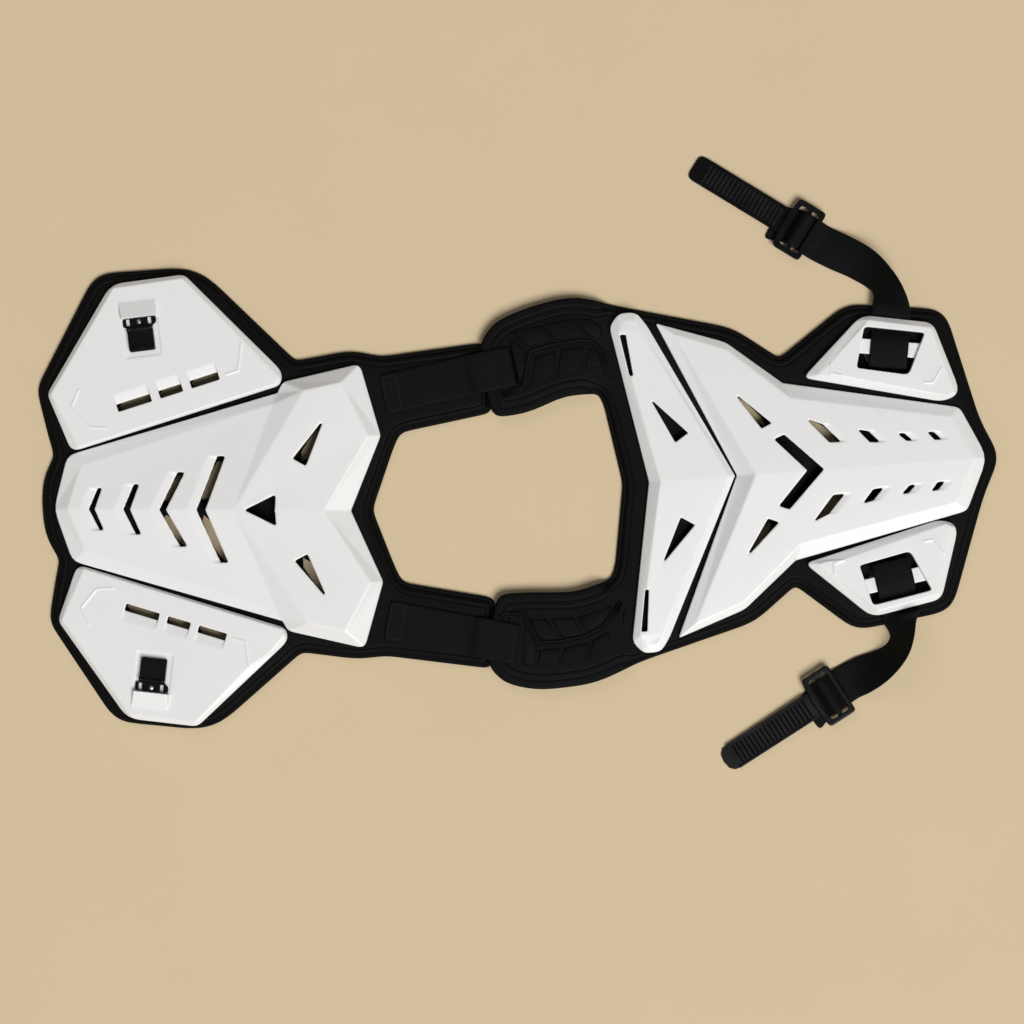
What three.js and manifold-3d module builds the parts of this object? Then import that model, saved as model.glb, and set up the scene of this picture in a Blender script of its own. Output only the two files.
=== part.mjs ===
// A motocross chest protector laid open on a flat surface, in millimetres with +Z up.
// The front panel lies at -X and the back panel at +X, with the neck opening between them.
// Both panels are black foam liners under white moulded plates, joined by two shoulder pads.
import * as THREE from 'three';
import Module from 'manifold-3d';
import { ConvexGeometry } from 'three/addons/geometries/ConvexGeometry.js';
import { mergeVertices } from 'three/addons/utils/BufferGeometryUtils.js';

// Thicknesses and levels above the surface.
const GAP = 0.3;
const FOAM = 9;
const FLANGE = 4.5;
const FLANGE_WIDTH = 5;
const SEAT = FOAM + GAP;
const SHELL = 3;
const LIP = 4;
const PAD = 12;
const WEB = { width: 38, thick: 1.8 };
const LYING = GAP + WEB.thick / 2;

// Each panel has its own frame: u along the spine, v across it, mirrored about v = 0.
const FRONT = { x: -283.5, y: -46.6, turn: 1 };
const BACK = { x: 215.4, y: -12.4, turn: 4.2 };

// The front panel lies slightly rolled: its waist swings and its +v side spreads, fading out at the tabs.
const ROLL = { swing: -0.0236, spread: 0.000247, fan: 0.00013, pivot: 85, tabs: [110, 190] };

// The soft back panel lies slightly sheared: its sides shift along u by a share of v, and the shoulders
// by v. The inner edge of the -v shoulder pad is tucked outwards.
const SHEAR = { u: 0.05, v: -9, tuck: -7, tail: [40, 140], shoulder: [110, 220], inner: [95, 170] };

// Front liner, half outline from the waist to the neck. Column round is the length of each corner's curve,
// and low what the corner on the -v side lies further out.
const FRONT_LINER = [
  { u: -194.5, v: 0 },
  { u: -193, v: 28, round: 24 },
  { u: -180, v: 52.2, round: 4 },
  { u: -185.5, v: 75.4, round: 3 },
  { u: -194, v: 117, round: 10 },
  { u: -131, v: 224, round: 16, low: 2 },
  { u: -31, v: 231, round: 26, low: 5 },
  { u: 63, v: 145, round: 4, low: 3 },
  { u: 119, v: 155, round: 12 },
  { u: 148.6, v: 150.3, round: 6 },
  { u: 254, v: 164, round: 6 },
  { u: 259, v: 93, round: 6 },
  { u: 165.6, v: 75.2, round: 6 },
  { u: 157.3, v: 55.5, round: 6 },
  { u: 137, v: 0 },
];

// Back liner, half outline from the neck to the tail.
const BACK_LINER = [
  { u: -111, v: 0 },
  { u: -125.2, v: 86, round: 5 },
  { u: -129, v: 95 },
  { u: -109.4, v: 180 },
  { u: -68, v: 169, round: 10 },
  { u: 11, v: 148, round: 14 },
  { u: 54.7, v: 114.5, round: 4 },
  { u: 119, v: 164, round: 14 },
  { u: 217, v: 151, round: 16 },
  { u: 250.8, v: 37.4, round: 16 },
  { u: 269, v: 0, round: 14 },
];

// Shoulder pad outline on the +v side, clockwise from its front end.
const PAD_OUTLINE = [
  { u: -251.6, v: 160, round: 8 },
  { u: -238, v: 180, round: 12 },
  { u: -204, v: 192, round: 20 },
  { u: -150, v: 195, round: 20 },
  { u: -110, v: 180.2 },
  { u: -129.6, v: 95 },
  { u: -133, v: 93, round: 2 },
  { u: -164, v: 97, round: 14 },
  { u: -206, v: 86, round: 16 },
  { u: -240, v: 84.5, round: 10 },
  { u: -247, v: 112, round: 8 },
];

// Raised blocks of the pad lie between cross cuts, given by an inner and an outer end.
const PAD_FIELDS = [
  [
    { uIn: -197, vIn: 153, uOut: -211, vOut: 170 },
    { uIn: -174, vIn: 157, uOut: -179, vOut: 178 },
    { uIn: -140, vIn: 158, uOut: -146, vOut: 180 },
    { uIn: -124, vIn: 155, uOut: -121, vOut: 174 },
  ],
  [
    { uIn: -185, vIn: 112, uOut: -189, vOut: 140 },
    { uIn: -170, vIn: 117, uOut: -165, vOut: 143 },
    { uIn: -144, vIn: 121, uOut: -138, vOut: 144 },
    { uIn: -132, vIn: 124, uOut: -128, vOut: 142 },
  ],
];
const PAD_RIDGE = [
  { u: -222, v: 104 },
  { u: -203, v: 107 },
  { u: -194, v: 147 },
  { u: -160, v: 151 },
  { u: -136, v: 151 },
  { u: -124, v: 146 },
  { u: -120, v: 121 },
];
const PAD_BLOCK = { groove: 4, height: 2 };
const PAD_RIB = { width: 4.5, height: 3 };

// Corners of the faceted plates for v >= 0: z is the height over the seat, and rim marks the outer edge.
const CHEST_PLATE = [
  { name: 'a', u: -181, v: 0, z: 4, rim: true, round: 12 },
  { name: 'b', u: -165, v: 53, z: 4, rim: true, round: 9 },
  { name: 'n', u: 45, v: 114, z: 4.5, rim: true },
  { name: 'm', u: 50.5, v: 124.5, z: 4.5, rim: true, round: 5 },
  { name: 't', u: 127.3, v: 142.2, z: 4.5, rim: true, round: 7 },
  { name: 'r', u: 147, v: 73, z: 4.5, rim: true, round: 3 },
  { name: 'w', u: 116, v: 0, z: 5, rim: true },
  { name: 'A', u: -166, v: 0, z: 11 },
  { name: 'B', u: -151, v: 43, z: 8.5 },
  { name: 'N', u: 41, v: 103, z: 9.5 },
  { name: 'F', u: 0, v: 0, z: 18 },
  { name: 'M', u: 72, v: 116, z: 15.5 },
  { name: 'T', u: 109, v: 124, z: 14.5 },
  { name: 'R', u: 135, v: 73, z: 13 },
  { name: 'W', u: 90, v: 0, z: 16 },
];
const CHEST_FACETS = ['a A B b', 'b B N n', 'A F N B', 'F M N', 'N M n', 'n M m', 'm M T t', 'T R r t',
  'W w r R', 'F W R T M'];

const COLLAR_PLATE = [
  { name: 'a', u: 1, v: 0, z: 4, rim: true },
  { name: 's', u: -76, v: 156.5, z: 4, rim: true, round: 6 },
  { name: 'r', u: -85.5, v: 170, z: 4, rim: true, round: 6 },
  { name: 'q', u: -103, v: 170.5, z: 4, rim: true, round: 6 },
  { name: 'p', u: -113.5, v: 158, z: 4, rim: true, round: 6 },
  { name: 'l', u: -85.2, v: 0, z: 4, rim: true },
  { name: 'A', u: -5, v: 0, z: 10 },
  { name: 'S', u: -82.5, v: 152, z: 7 },
  { name: 'R', u: -88.5, v: 162, z: 7 },
  { name: 'Q', u: -98, v: 162, z: 7 },
  { name: 'P', u: -105, v: 152, z: 8.5 },
  { name: 'L', u: -74, v: 0, z: 12 },
];
const COLLAR_FACETS = ['a s S A', 's r R S', 'r q Q R', 'q p P Q', 'p l L P', 'A S L', 'S P L', 'S R Q P'];

const BACK_PLATE = [
  { name: 'a', u: 3, v: 0, z: 4, rim: true },
  { name: 'b', u: -67.3, v: 158, z: 4, rim: true, round: 3 },
  { name: 'c', u: 1.2, v: 134, z: 4, rim: true, round: 6 },
  { name: 'd', u: 55.3, v: 89, z: 4, rim: true, round: 6 },
  { name: 'e', u: 230, v: 52, z: 4, rim: true, round: 6 },
  { name: 'f', u: 254, v: 0, z: 4, rim: true, round: 14 },
  { name: 'A', u: 21, v: 0, z: 15 },
  { name: 'B', u: -50, v: 145, z: 8 },
  { name: 'C', u: 1, v: 126, z: 8.5 },
  { name: 'D', u: 61, v: 73, z: 11 },
  { name: 'E', u: 219, v: 43, z: 9 },
  { name: 'F', u: 241, v: 0, z: 10 },
];
const BACK_FACETS = ['a A B b', 'b B C c', 'c C D d', 'd D E e', 'e E F f', 'A F E', 'A E D', 'A D C',
  'A C B'];

// Chevron vents of the chest point at the waist: apex and end of the outer and of the inner edge.
const CHEVRONS = [
  { outer: -144.5, inner: -139, endOuter: -135, endInner: -131, v: 21, open: false },
  { outer: -110, inner: -103.6, endOuter: -98.7, endInner: -93.7, v: 25, open: false },
  { outer: -73.8, inner: -67.6, endOuter: -54.7, endInner: -47.8, v: 37, open: true },
  { outer: -36.6, inner: -28.1, endOuter: -14.8, endInner: -7.3, v: 53, open: true },
];
const CHEVRON_RAMP = { run: 10, depth: 2 };

// Other vents as corner loops. Those marked open run on through the liner.
const CHEST_CENTRE_VENT = [{ u: 11, v: 0 }, { u: 42, v: 15.5 }, { u: 41, v: 0 }, { u: 42, v: -15.5 }];
const CHEST_SIDE_VENT = { open: true, loop: [{ u: 91.7, v: 90 }, { u: 59.8, v: 50.9 }, { u: 72.5, v: 44 }] };
const COLLAR_VENTS = [
  { loop: [{ u: -78.2, v: 82.7 }, { u: -56.5, v: 37.5 }, { u: -43, v: 46 }] },
  { loop: [{ u: -104, v: 148.5 }, { u: -97, v: 107 }, { u: -93.5, v: 107 }, { u: -98, v: 148.5 }] },
];
const BACK_CHEVRON = { outer: 89, inner: 72.5, endOuter: 52, endInner: 41.7, vOuter: 37.3, vInner: 33.2 };
const BACK_VENTS = [
  { open: true, loop: [{ u: 4.5, v: 83.5 }, { u: 30, v: 45 }, { u: 40.5, v: 49.5 }] },
  { open: true, loop: [{ u: 75, v: 51.6 }, { u: 96.6, v: 26.4 }, { u: 108, v: 26 }, { u: 91, v: 44.7 }] },
  { loop: [{ u: 125.5, v: 37 }, { u: 136.8, v: 23.6 }, { u: 147.3, v: 22.7 }, { u: 136, v: 34.7 }] },
  { loop: [{ u: 164.6, v: 30.7 }, { u: 173.3, v: 22.3 }, { u: 180.2, v: 21.7 }, { u: 171.7, v: 29.8 }] },
  { loop: [{ u: 194.5, v: 29.8 }, { u: 201.6, v: 21.2 }, { u: 209, v: 20.9 }, { u: 201.4, v: 28.9 }] },
];
const VENT_RAMP = { run: 8, depth: 1.5 };

// Chest wing in its own frame: u along the seam with the chest plate and v outward from it.
// The share is the part of a wing's width that shows as the panel lies.
const WING_FRAME = { u: -157.9, v: 57.2, turn: 17.3 };
const WING_SHARE = { upper: 0.955, lower: 1.01 };
const WING = [
  { u: -2.5, v: 0, round: 9 },
  { u: -6.5, v: 62, round: 6 },
  { u: 88, v: 143, round: 12 },
  { u: 159, v: 130, round: 6 },
  { u: 222, v: 12, round: 10 },
  { u: 216, v: 0, round: 6 },
];
const WING_RIMS = [8, 8, 8, 8, 5, 4];
const WING_HEIGHT = { edge: 4.5, crown: 8.5 };
const WING_SLOTS = [
  { from: 55.6, to: 90.5 },
  { from: 99.5, to: 123 },
  { from: 132, to: 161 },
];
const WING_SLOT_ROW = { v: 23.4, width: 7.5, run: 10, depth: 2 };
const WING_LINES = [
  [{ u: 25, v: 56 }, { u: 13, v: 42 }, { u: 23, v: 18 }, { u: 38, v: 12 }],
  [{ u: 192, v: 50 }, { u: 181, v: 26 }, { u: 168, v: 26 }],
];
const MOULD_LINE = { width: 1.6, height: 0.7 };

// Ratchet buckle in the wing: x across the strap, y outward to the riveted head.
const BUCKLE_FRAME = { u: 101, v: 88, turn: -10.6 };
const BUCKLE_BASE = [
  { u: -13, v: -16.5, round: 2 },
  { u: 13, v: -16.5, round: 2 },
  { u: 13, v: 8 },
  { u: 16.8, v: 11, round: 1 },
  { u: 17.2, v: 16.8, round: 2 },
  { u: -16.3, v: 16.8, round: 2 },
  { u: -16.3, v: 9, round: 1 },
  { u: -13, v: 8 },
];
const BUCKLE_SLOTS = [{ u: -11, v: 13 }, { u: 10.5, v: 13 }];
const BUCKLE_SLOT = { width: 3.5, length: 7 };
const BUCKLE_POCKET = { left: -18, right: 18.5, bottom: -22, top: 18.2, depth: 0.8 };
const BUCKLE_PLATE = 2;
const HINGE = { y: 5.5, radius: 2, bore: 1.2, pin: 0.9, inner: 10.6, ear: [10.9, 12.9] };
const LEVER = { end: -15.8, thick: 2.6, half: 12.7 };
const RIVET = { y: 13, head: 2.6, dome: 1.4, shank: 1.4, bore: 1.7 };
const HOOD = { half: 18.4, near: 17.6, far: 37, height: 6.5, wall: 2.2 };

// Side plate on the +v side of the back panel, its window, and the bar that the side strap goes round.
const SIDE_PLATE = [
  { u: 70, v: 92.6, round: 8 },
  { u: 133, v: 151, round: 11 },
  { u: 203.5, v: 138, round: 9 },
  { u: 226, v: 66, round: 14 },
  { u: 208.5, v: 58.4, round: 10 },
];
const SIDE_RIMS = [10, 8, 7, 5, 8];
const SIDE_HEIGHT = { edge: 5.5, crown: 10 };
const SIDE_WINDOW = [
  { u: 134.2, v: 139.1, round: 4 },
  { u: 194.1, v: 128.3, round: 3 },
  { u: 174.9, v: 87.7, round: 5 },
  { u: 123.5, v: 98.4, round: 3 },
];
const SIDE_BAR = { u: 157.8, v: 115.7, turn: -9.1, length: 72, width: 15, bottom: 4.2, top: 6.7 };
const SIDE_NOTCH = { from: 12, to: 34, half: 20, height: 2.9 };
const SIDE_LINES = [
  [{ u: 98, v: 105 }, { u: 98, v: 95 }, { u: 108, v: 92 }],
  [{ u: 208, v: 92 }, { u: 198, v: 78 }, { u: 190, v: 79 }],
];

// Route of the webbing round the bar: along is outward from the bar, z the height over the seat.
const BAR_ROUTE = [
  { along: 6, z: 2.95 },
  { along: -16, z: 2.95 },
  { along: -18.8, z: 3.6 },
  { along: -19.6, z: 5 },
  { along: -17.5, z: 6.3 },
  { along: -8.6, z: 7.95 },
  { along: 0, z: 8.3 },
  { along: 8.6, z: 7.95 },
  { along: 12.6, z: 5 },
  { along: 15.6, z: 2 },
  { along: 18.5, z: LYING - GAP },
  { along: 32, z: LYING - GAP },
];

// Route through the slider: along is measured from its centre bar towards the ladder strap.
const SLIDER_ROUTE = [
  { along: -24, z: LYING },
  { along: -14, z: 3.4 },
  { along: -8.6, z: 3.45 },
  { along: -3.5, z: 8.35 },
  { along: 0, z: 8.75 },
  { along: 3.5, z: 8.35 },
  { along: 7.6, z: 2.2 },
  { along: 9.5, z: LYING },
  { along: 16, z: LYING, side: 3 },
  { along: 27, z: LYING, side: 6 },
];

// Free run of each side strap between the back panel and its slider, with the roll of the webbing.
const SIDE_STRAPS = [
  {
    name: 'upper',
    side: 1,
    tipRound: 7,
    slider: { u: 83.9, v: 241.3, turn: 144.3 },
    run: [
      { u: 167, v: 168.5, z: 22, across: -5, roll: 42 },
      { u: 159.5, v: 184.5, z: 16.5, across: 24, roll: 46 },
      { u: 142.5, v: 202.5, z: 10, across: 42, roll: 25 },
      { u: 122, v: 216, z: 4.5, across: 54, roll: 8 },
    ],
  },
  {
    name: 'lower',
    side: -1,
    tipRound: 13,
    slider: { u: 78.9, v: -226.6, turn: -151.3 },
    run: [
      { u: 154, v: -157, z: 21, across: 8, roll: 40 },
      { u: 155, v: -171, z: 19.2, across: 0, roll: 60 },
      { u: 149, v: -185, z: 18.4, across: -32, roll: 59 },
      { u: 134.5, v: -197.5, z: 14.2, across: -52, roll: 42 },
      { u: 115, v: -208.3, z: 6.2, across: -64, roll: 13 },
    ],
  },
];
const RUN_STEPS = 3;

// Strap slider: a frame with a centre bar, its far rail bowed towards the ladder strap.
const SLIDER = {
  near: -15.5, far: 15.5, bow: 3, half: 27.5, rim: 5, bottom: 4.7, top: 9.2, bar: 5, barTop: 7.2,
};

// Ladder strap: a flat tongue with raised side rails and teeth across it.
const LADDER = { from: 11, tip: 124, width: 27, bottom: 2.4, thick: 1.6, level: 27, pitch: 4.6, teeth: 19 };
const LADDER_RAIL = { from: 21, to: 114, width: 2.6, height: 1.6 };
const LADDER_TOOTH = { from: 24, length: 2.2, half: 9.6, height: 1.2 };

// Shoulder strap: sewn on the front tab and led over the end of the shoulder pad into its slot.
const SHOULDER_STRAP = { u: 149.8, v: 112.8, turn: 11.6, width: 40 };
const SHOULDER_ROUTE = [
  { along: 0, z: SEAT + 0.9 },
  { along: 86, z: SEAT + 0.9 },
  { along: 93, z: PAD + 1.3 },
  { along: 112, z: PAD + 1.3 },
  { along: 129.4, z: PAD + 1.4 },
  { along: 132.2, z: PAD + 0.7 },
  { along: 133.4, z: PAD - 2 },
  { along: 133.8, z: 5 },
];
const PAD_SLOT = { from: 128.4, to: 136.6, half: 22 };
const TAB_END = { from: 200, to: 260, half: 190 };

const FINISH = {
  foam: { color: 0x0d0d0e, roughness: 0.9, metalness: 0 },
  plate: { color: 0xe4e3e3, roughness: 0.42, metalness: 0 },
  webbing: { color: 0x101012, roughness: 0.85, metalness: 0 },
  plastic: { color: 0x16171a, roughness: 0.4, metalness: 0 },
  steel: { color: 0xa8a49a, roughness: 0.3, metalness: 1 },
};

const wasm = await Module();
wasm.setup();

const radians = THREE.MathUtils.degToRad;

// A closed solid from a three.js geometry.
function solid(geometry) {
  const bare = geometry.index ? geometry.toNonIndexed() : geometry.clone();
  bare.deleteAttribute('normal');
  bare.deleteAttribute('uv');
  const merged = mergeVertices(bare, 1e-3);
  return new wasm.Manifold(new wasm.Mesh({
    numProp: 3,
    vertProperties: Float32Array.from(merged.attributes.position.array),
    triVerts: Uint32Array.from(merged.index.array),
  }));
}

// The geometry of a solid, mirrored across v = 0 when side is -1.
function geometryOf(body, side = 1) {
  const { vertProperties, triVerts } = body.getMesh();
  const geometry = new THREE.BufferGeometry();
  geometry.setAttribute('position', new THREE.BufferAttribute(Float32Array.from(vertProperties), 3));
  const order = side > 0 ? [0, 1, 2] : [0, 2, 1];
  const index = [];
  for (let i = 0; i < triVerts.length; i += 3) {
    order.forEach((corner) => index.push(triVerts[i + corner]));
  }
  geometry.setIndex(index);
  geometry.scale(1, side, 1);
  geometry.computeVertexNormals();
  return geometry;
}

function piece(name, body, finish, side = 1) {
  const mesh = new THREE.Mesh(geometryOf(body, side), new THREE.MeshStandardMaterial(FINISH[finish]));
  mesh.name = name;
  return mesh;
}

function framed({ u, v, turn }, side = 1) {
  const group = new THREE.Group();
  group.position.set(u, side * v, 0);
  group.rotation.z = side * radians(turn);
  return group;
}

// A whole mirrored outline from its half.
function mirrored(half) {
  const back = half.filter(({ v }) => v > 0).reverse();
  return [...half, ...back.map((corner) => ({ ...corner, v: -corner.v }))];
}

// A closed outline through corner rows. A corner with a round length becomes a curve.
function outline(corners) {
  const shape = new THREE.Shape();
  const at = (i) => new THREE.Vector2(corners[i].u, corners[i].v);
  corners.forEach(({ round = 0 }, i) => {
    const here = at(i);
    const before = at((i + corners.length - 1) % corners.length).sub(here);
    const after = at((i + 1) % corners.length).sub(here);
    const start = before.clone().setLength(Math.min(round, before.length() * 0.48)).add(here);
    const end = after.clone().setLength(Math.min(round, after.length() * 0.48)).add(here);
    if (i === 0) {
      shape.moveTo(start.x, start.y);
    } else {
      shape.lineTo(start.x, start.y);
    }
    if (round > 0) {
      shape.quadraticCurveTo(here.x, here.y, end.x, end.y);
    }
  });
  shape.closePath();
  return shape;
}

// An outline moved inward, by one distance or by one for each edge that starts at a corner.
function inset(corners, distances) {
  const area = THREE.ShapeUtils.area(corners.map(({ u, v }) => ({ x: u, y: v })));
  const inward = Math.sign(area);
  const edges = corners.map((corner, i) => {
    const next = corners[(i + 1) % corners.length];
    const along = new THREE.Vector2(next.u - corner.u, next.v - corner.v).normalize();
    const normal = new THREE.Vector2(-along.y, along.x).multiplyScalar(inward);
    const distance = Array.isArray(distances) ? distances[i] : distances;
    return { along, start: new THREE.Vector2(corner.u, corner.v).addScaledVector(normal, distance) };
  });
  return edges.map((edge, i) => {
    const before = edges[(i + edges.length - 1) % edges.length];
    const cross = before.along.cross(edge.along);
    if (Math.abs(cross) < 1e-6) {
      return { u: edge.start.x, v: edge.start.y };
    }
    const reach = edge.start.clone().sub(before.start).cross(edge.along) / cross;
    const point = before.start.clone().addScaledVector(before.along, reach);
    return { u: point.x, v: point.y };
  });
}

// A slab of an outline between two levels, with its edges chamfered.
function slab(shape, bottom, top, edge = 0, curveSegments = 3) {
  const geometry = new THREE.ExtrudeGeometry(shape, {
    depth: top - bottom - 2 * edge,
    bevelEnabled: edge > 0,
    bevelThickness: edge,
    bevelSize: edge,
    bevelOffset: -edge,
    bevelSegments: 1,
    curveSegments,
  });
  return solid(geometry.translate(0, 0, bottom + edge));
}

function box(left, right, near, far, bottom, top) {
  const geometry = new THREE.BoxGeometry(right - left, far - near, top - bottom);
  return solid(geometry.translate((left + right) / 2, (near + far) / 2, (bottom + top) / 2));
}

function hull(points) {
  return solid(new ConvexGeometry(points.map(({ u, v, z }) => new THREE.Vector3(u, v, z))));
}

function turned(body, { u = 0, v = 0, turn = 0 }) {
  return solid(geometryOf(body).rotateZ(radians(turn)).translate(u, v, 0));
}

function union(bodies) {
  return bodies.reduce((whole, body) => whole.add(body));
}

function cut(body, cutters) {
  return cutters.reduce((rest, cutter) => rest.subtract(cutter), body);
}

// A faceted plate from the corners and facets of one half, as a solid that stands on z = 0.
class FacetedPlate {
  constructor(rows, facets, lay = (row) => row) {
    this.rows = rows;
    this.corners = [];
    this.index = new Map();
    rows.forEach((row) => this.addCorner(row.name, lay(row)));
    rows.filter(({ v }) => v > 0)
      .forEach((row) => this.addCorner(`${row.name}'`, lay({ ...row, v: -row.v })));
    this.triangles = facets.flatMap((facet) => this.trianglesOf(facet.split(' ')));
    const rim = rows.filter((row) => row.rim).map((row) => row.name);
    const back = rim.filter((name) => this.index.has(`${name}'`)).reverse();
    this.rim = [...rim, ...back.map((name) => `${name}'`)].map((name) => this.index.get(name));
  }

  addCorner(name, row) {
    this.index.set(name, this.corners.length);
    this.corners.push(row);
  }

  trianglesOf(names) {
    const twin = (name) => (this.index.has(`${name}'`) ? `${name}'` : name);
    const fans = [names, names.map(twin)].map((loop) => loop.map((name) => this.index.get(name)));
    return fans.flatMap((loop) => loop.slice(2)
      .map((corner, i) => this.facing([loop[0], loop[i + 1], corner])));
  }

  facing([a, b, c]) {
    const [p, q, r] = [a, b, c].map((i) => this.corners[i]);
    const area = (q.u - p.u) * (r.v - p.v) - (r.u - p.u) * (q.v - p.v);
    return area > 0 ? [a, b, c] : [a, c, b];
  }

  // Height of the outer surface over a point.
  height(u, v) {
    for (const triangle of this.triangles) {
      const [p, q, r] = triangle.map((i) => this.corners[i]);
      const area = (q.u - p.u) * (r.v - p.v) - (r.u - p.u) * (q.v - p.v);
      const toQ = ((u - p.u) * (r.v - p.v) - (r.u - p.u) * (v - p.v)) / area;
      const toR = ((q.u - p.u) * (v - p.v) - (u - p.u) * (q.v - p.v)) / area;
      if (toQ >= -0.001 && toR >= -0.001 && toQ + toR <= 1.001) {
        return p.z + toQ * (q.z - p.z) + toR * (r.z - p.z);
      }
    }
    return this.rows[0].z;
  }

  // The body below the outer surface, lowered by a wall and drawn in from the rim.
  body(wall, lip, floor) {
    const edge = this.rim.map((i) => this.corners[i]);
    const foot = lip > 0 ? inset(edge, lip) : edge;
    const tops = this.corners.map(({ u, v, z }) => [u, v, z - wall]);
    this.rim.forEach((corner, i) => {
      tops[corner] = [foot[i].u, foot[i].v, Math.max(edge[i].z - wall, 0.8)];
    });
    const feet = foot.map(({ u, v }) => [u, v, floor]);
    const vertices = [...tops, ...feet];
    const low = tops.length;
    const count = this.rim.length;
    const faces = [...this.triangles];
    this.rim.forEach((here, i) => {
      const j = (i + 1) % count;
      faces.push([here, this.rim[j], low + j], [here, low + j, low + i]);
    });
    const contour = foot.map(({ u, v }) => new THREE.Vector2(u, v));
    THREE.ShapeUtils.triangulateShape(contour, []).forEach(([a, b, c]) => {
      const area = contour[b].clone().sub(contour[a]).cross(contour[c].clone().sub(contour[a]));
      faces.push(area > 0 ? [low + a, low + c, low + b] : [low + a, low + b, low + c]);
    });
    const clockwise = THREE.ShapeUtils.area(contour) < 0;
    if (!clockwise) {
      faces.slice(this.triangles.length, this.triangles.length + 2 * count)
        .forEach((face) => face.reverse());
    }
    const geometry = new THREE.BufferGeometry();
    geometry.setAttribute('position', new THREE.Float32BufferAttribute(vertices.flat(), 3));
    geometry.setIndex(faces.flat());
    return solid(geometry);
  }

  // The hollow shell, with the rounded corners of its outline.
  shell() {
    const rounded = slab(outline(this.rim.map((i) => this.corners[i])), -1, 60);
    return this.body(0, 0, 0).intersect(rounded).subtract(this.body(SHELL, LIP, -5));
  }
}

// A convex plate with a chamfered rim and a flat crown, hollow below.
function crownedPlate(corners, rims, { edge, crown }) {
  const inner = inset(corners, rims);
  const border = outline(corners).getPoints(4).map(({ x, y }) => ({ u: x, v: y }));
  const at = (points, z) => points.map(({ u, v }) => ({ u, v, z }));
  const outside = hull([...at(border, 0), ...at(border, edge), ...at(inner, crown)]);
  const foot = inset(corners, LIP);
  const roof = inset(corners, rims.map((rim) => rim + 2));
  return outside.subtract(hull([...at(foot, -5), ...at(foot, edge - SHELL), ...at(roof, crown - SHELL)]));
}

// A straight cut through a plate or liner.
function through(loop) {
  return slab(outline(loop), -20, 60);
}

// A scoop that slopes down to one edge of a vent: from the edge's two ends along a run.
function scoop(height, from, to, run, depth) {
  const lip = [from, to]
    .map(({ u, v }) => ({ u: u - 0.04 * run.u, v: v - 0.04 * run.v, z: height(u, v) - depth }));
  const rise = [from, to]
    .map(({ u, v }) => ({ u: u + run.u, v: v + run.v, z: height(u + run.u, v + run.v) }));
  const low = [...lip, ...rise];
  return hull([...low, ...low.map((point) => ({ ...point, z: point.z + 12 }))]);
}

// A raised line along a route on a flat crown.
function raisedLine(route, { width, height }, z, foot = 0.5) {
  const corners = (from, to) => {
    const along = new THREE.Vector2(to.u - from.u, to.v - from.v).setLength(width / 2);
    const ends = [[from, -1], [to, 1]];
    return ends.flatMap(([end, way]) => [-1, 1].flatMap((side) => {
      const u = end.u + way * along.x * 0.5 - side * along.y;
      const v = end.v + way * along.y * 0.5 + side * along.x;
      const narrow = 0.5;
      const uTop = end.u + way * along.x * 0.5 - side * along.y * narrow;
      const vTop = end.v + way * along.y * 0.5 + side * along.x * narrow;
      return [{ u, v, z: z - foot }, { u, v, z }, { u: uTop, v: vTop, z: z + height }];
    }));
  };
  return union(route.slice(1).map((to, i) => hull(corners(route[i], to))));
}

const opposite = ({ u, v }) => ({ u, v: -v });

// Where a point of the front panel lies.
function settle(point) {
  const { u, v } = point;
  const share = 1 - THREE.MathUtils.smoothstep(u, ...ROLL.tabs);
  return {
    ...point,
    u: u + share * ROLL.fan * Math.min(u - ROLL.pivot, 0) * v,
    v: v + share * (ROLL.swing * u + ROLL.spread * v * v),
  };
}

// Where a point of the soft back panel lies.
function drape(point) {
  const { u, v } = point;
  const tail = THREE.MathUtils.smoothstep(u, ...SHEAR.tail) * Math.min(1, Math.abs(v) / 90);
  const shoulder = THREE.MathUtils.smoothstep(-u, ...SHEAR.shoulder);
  const tuck = v < 0 ? SHEAR.tuck * (1 - THREE.MathUtils.smoothstep(-v, ...SHEAR.inner)) : 0;
  return { ...point, u: u + SHEAR.u * v * (tail + shoulder), v: v + (SHEAR.v + tuck) * shoulder };
}

// Flat webbing along stations with a place, the plan angle of its width and a roll.
function ribbon(stations, { width, thick }) {
  const count = stations.length;
  const at = ({ u, v, z }) => new THREE.Vector3(u, v, z);
  const vertices = stations.flatMap((station, i) => {
    const before = at(stations[Math.max(i - 1, 0)]);
    const after = at(stations[Math.min(i + 1, count - 1)]);
    const across = new THREE.Vector3(
      Math.cos(radians(station.across)) * Math.cos(radians(station.roll)),
      Math.sin(radians(station.across)) * Math.cos(radians(station.roll)),
      Math.sin(radians(station.roll)),
    );
    const normal = after.sub(before).normalize().cross(across).normalize();
    const corner = (side, face) => at(station)
      .addScaledVector(across, side * width / 2)
      .addScaledVector(normal, face * thick / 2);
    return [corner(-1, -1), corner(1, -1), corner(1, 1), corner(-1, 1)];
  });
  const faces = [0, 1, 2, 3].flatMap((k) => stations.slice(1).flatMap((_, i) => {
    const [a, b] = [4 * i + k, 4 * i + (k + 1) % 4];
    return [[a, b, b + 4], [a, b + 4, a + 4]];
  }));
  const last = 4 * (count - 1);
  faces.push([0, 3, 2], [0, 2, 1], [last, last + 1, last + 2], [last, last + 2, last + 3]);
  const geometry = new THREE.BufferGeometry();
  const positions = vertices.flatMap((vertex) => vertex.toArray());
  geometry.setAttribute('position', new THREE.Float32BufferAttribute(positions, 3));
  geometry.setIndex(faces.flat());
  const body = solid(geometry);
  if (body.volume() > 0) {
    return body;
  }
  geometry.setIndex(faces.map((face) => face.reverse()).flat());
  return solid(geometry);
}

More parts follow.
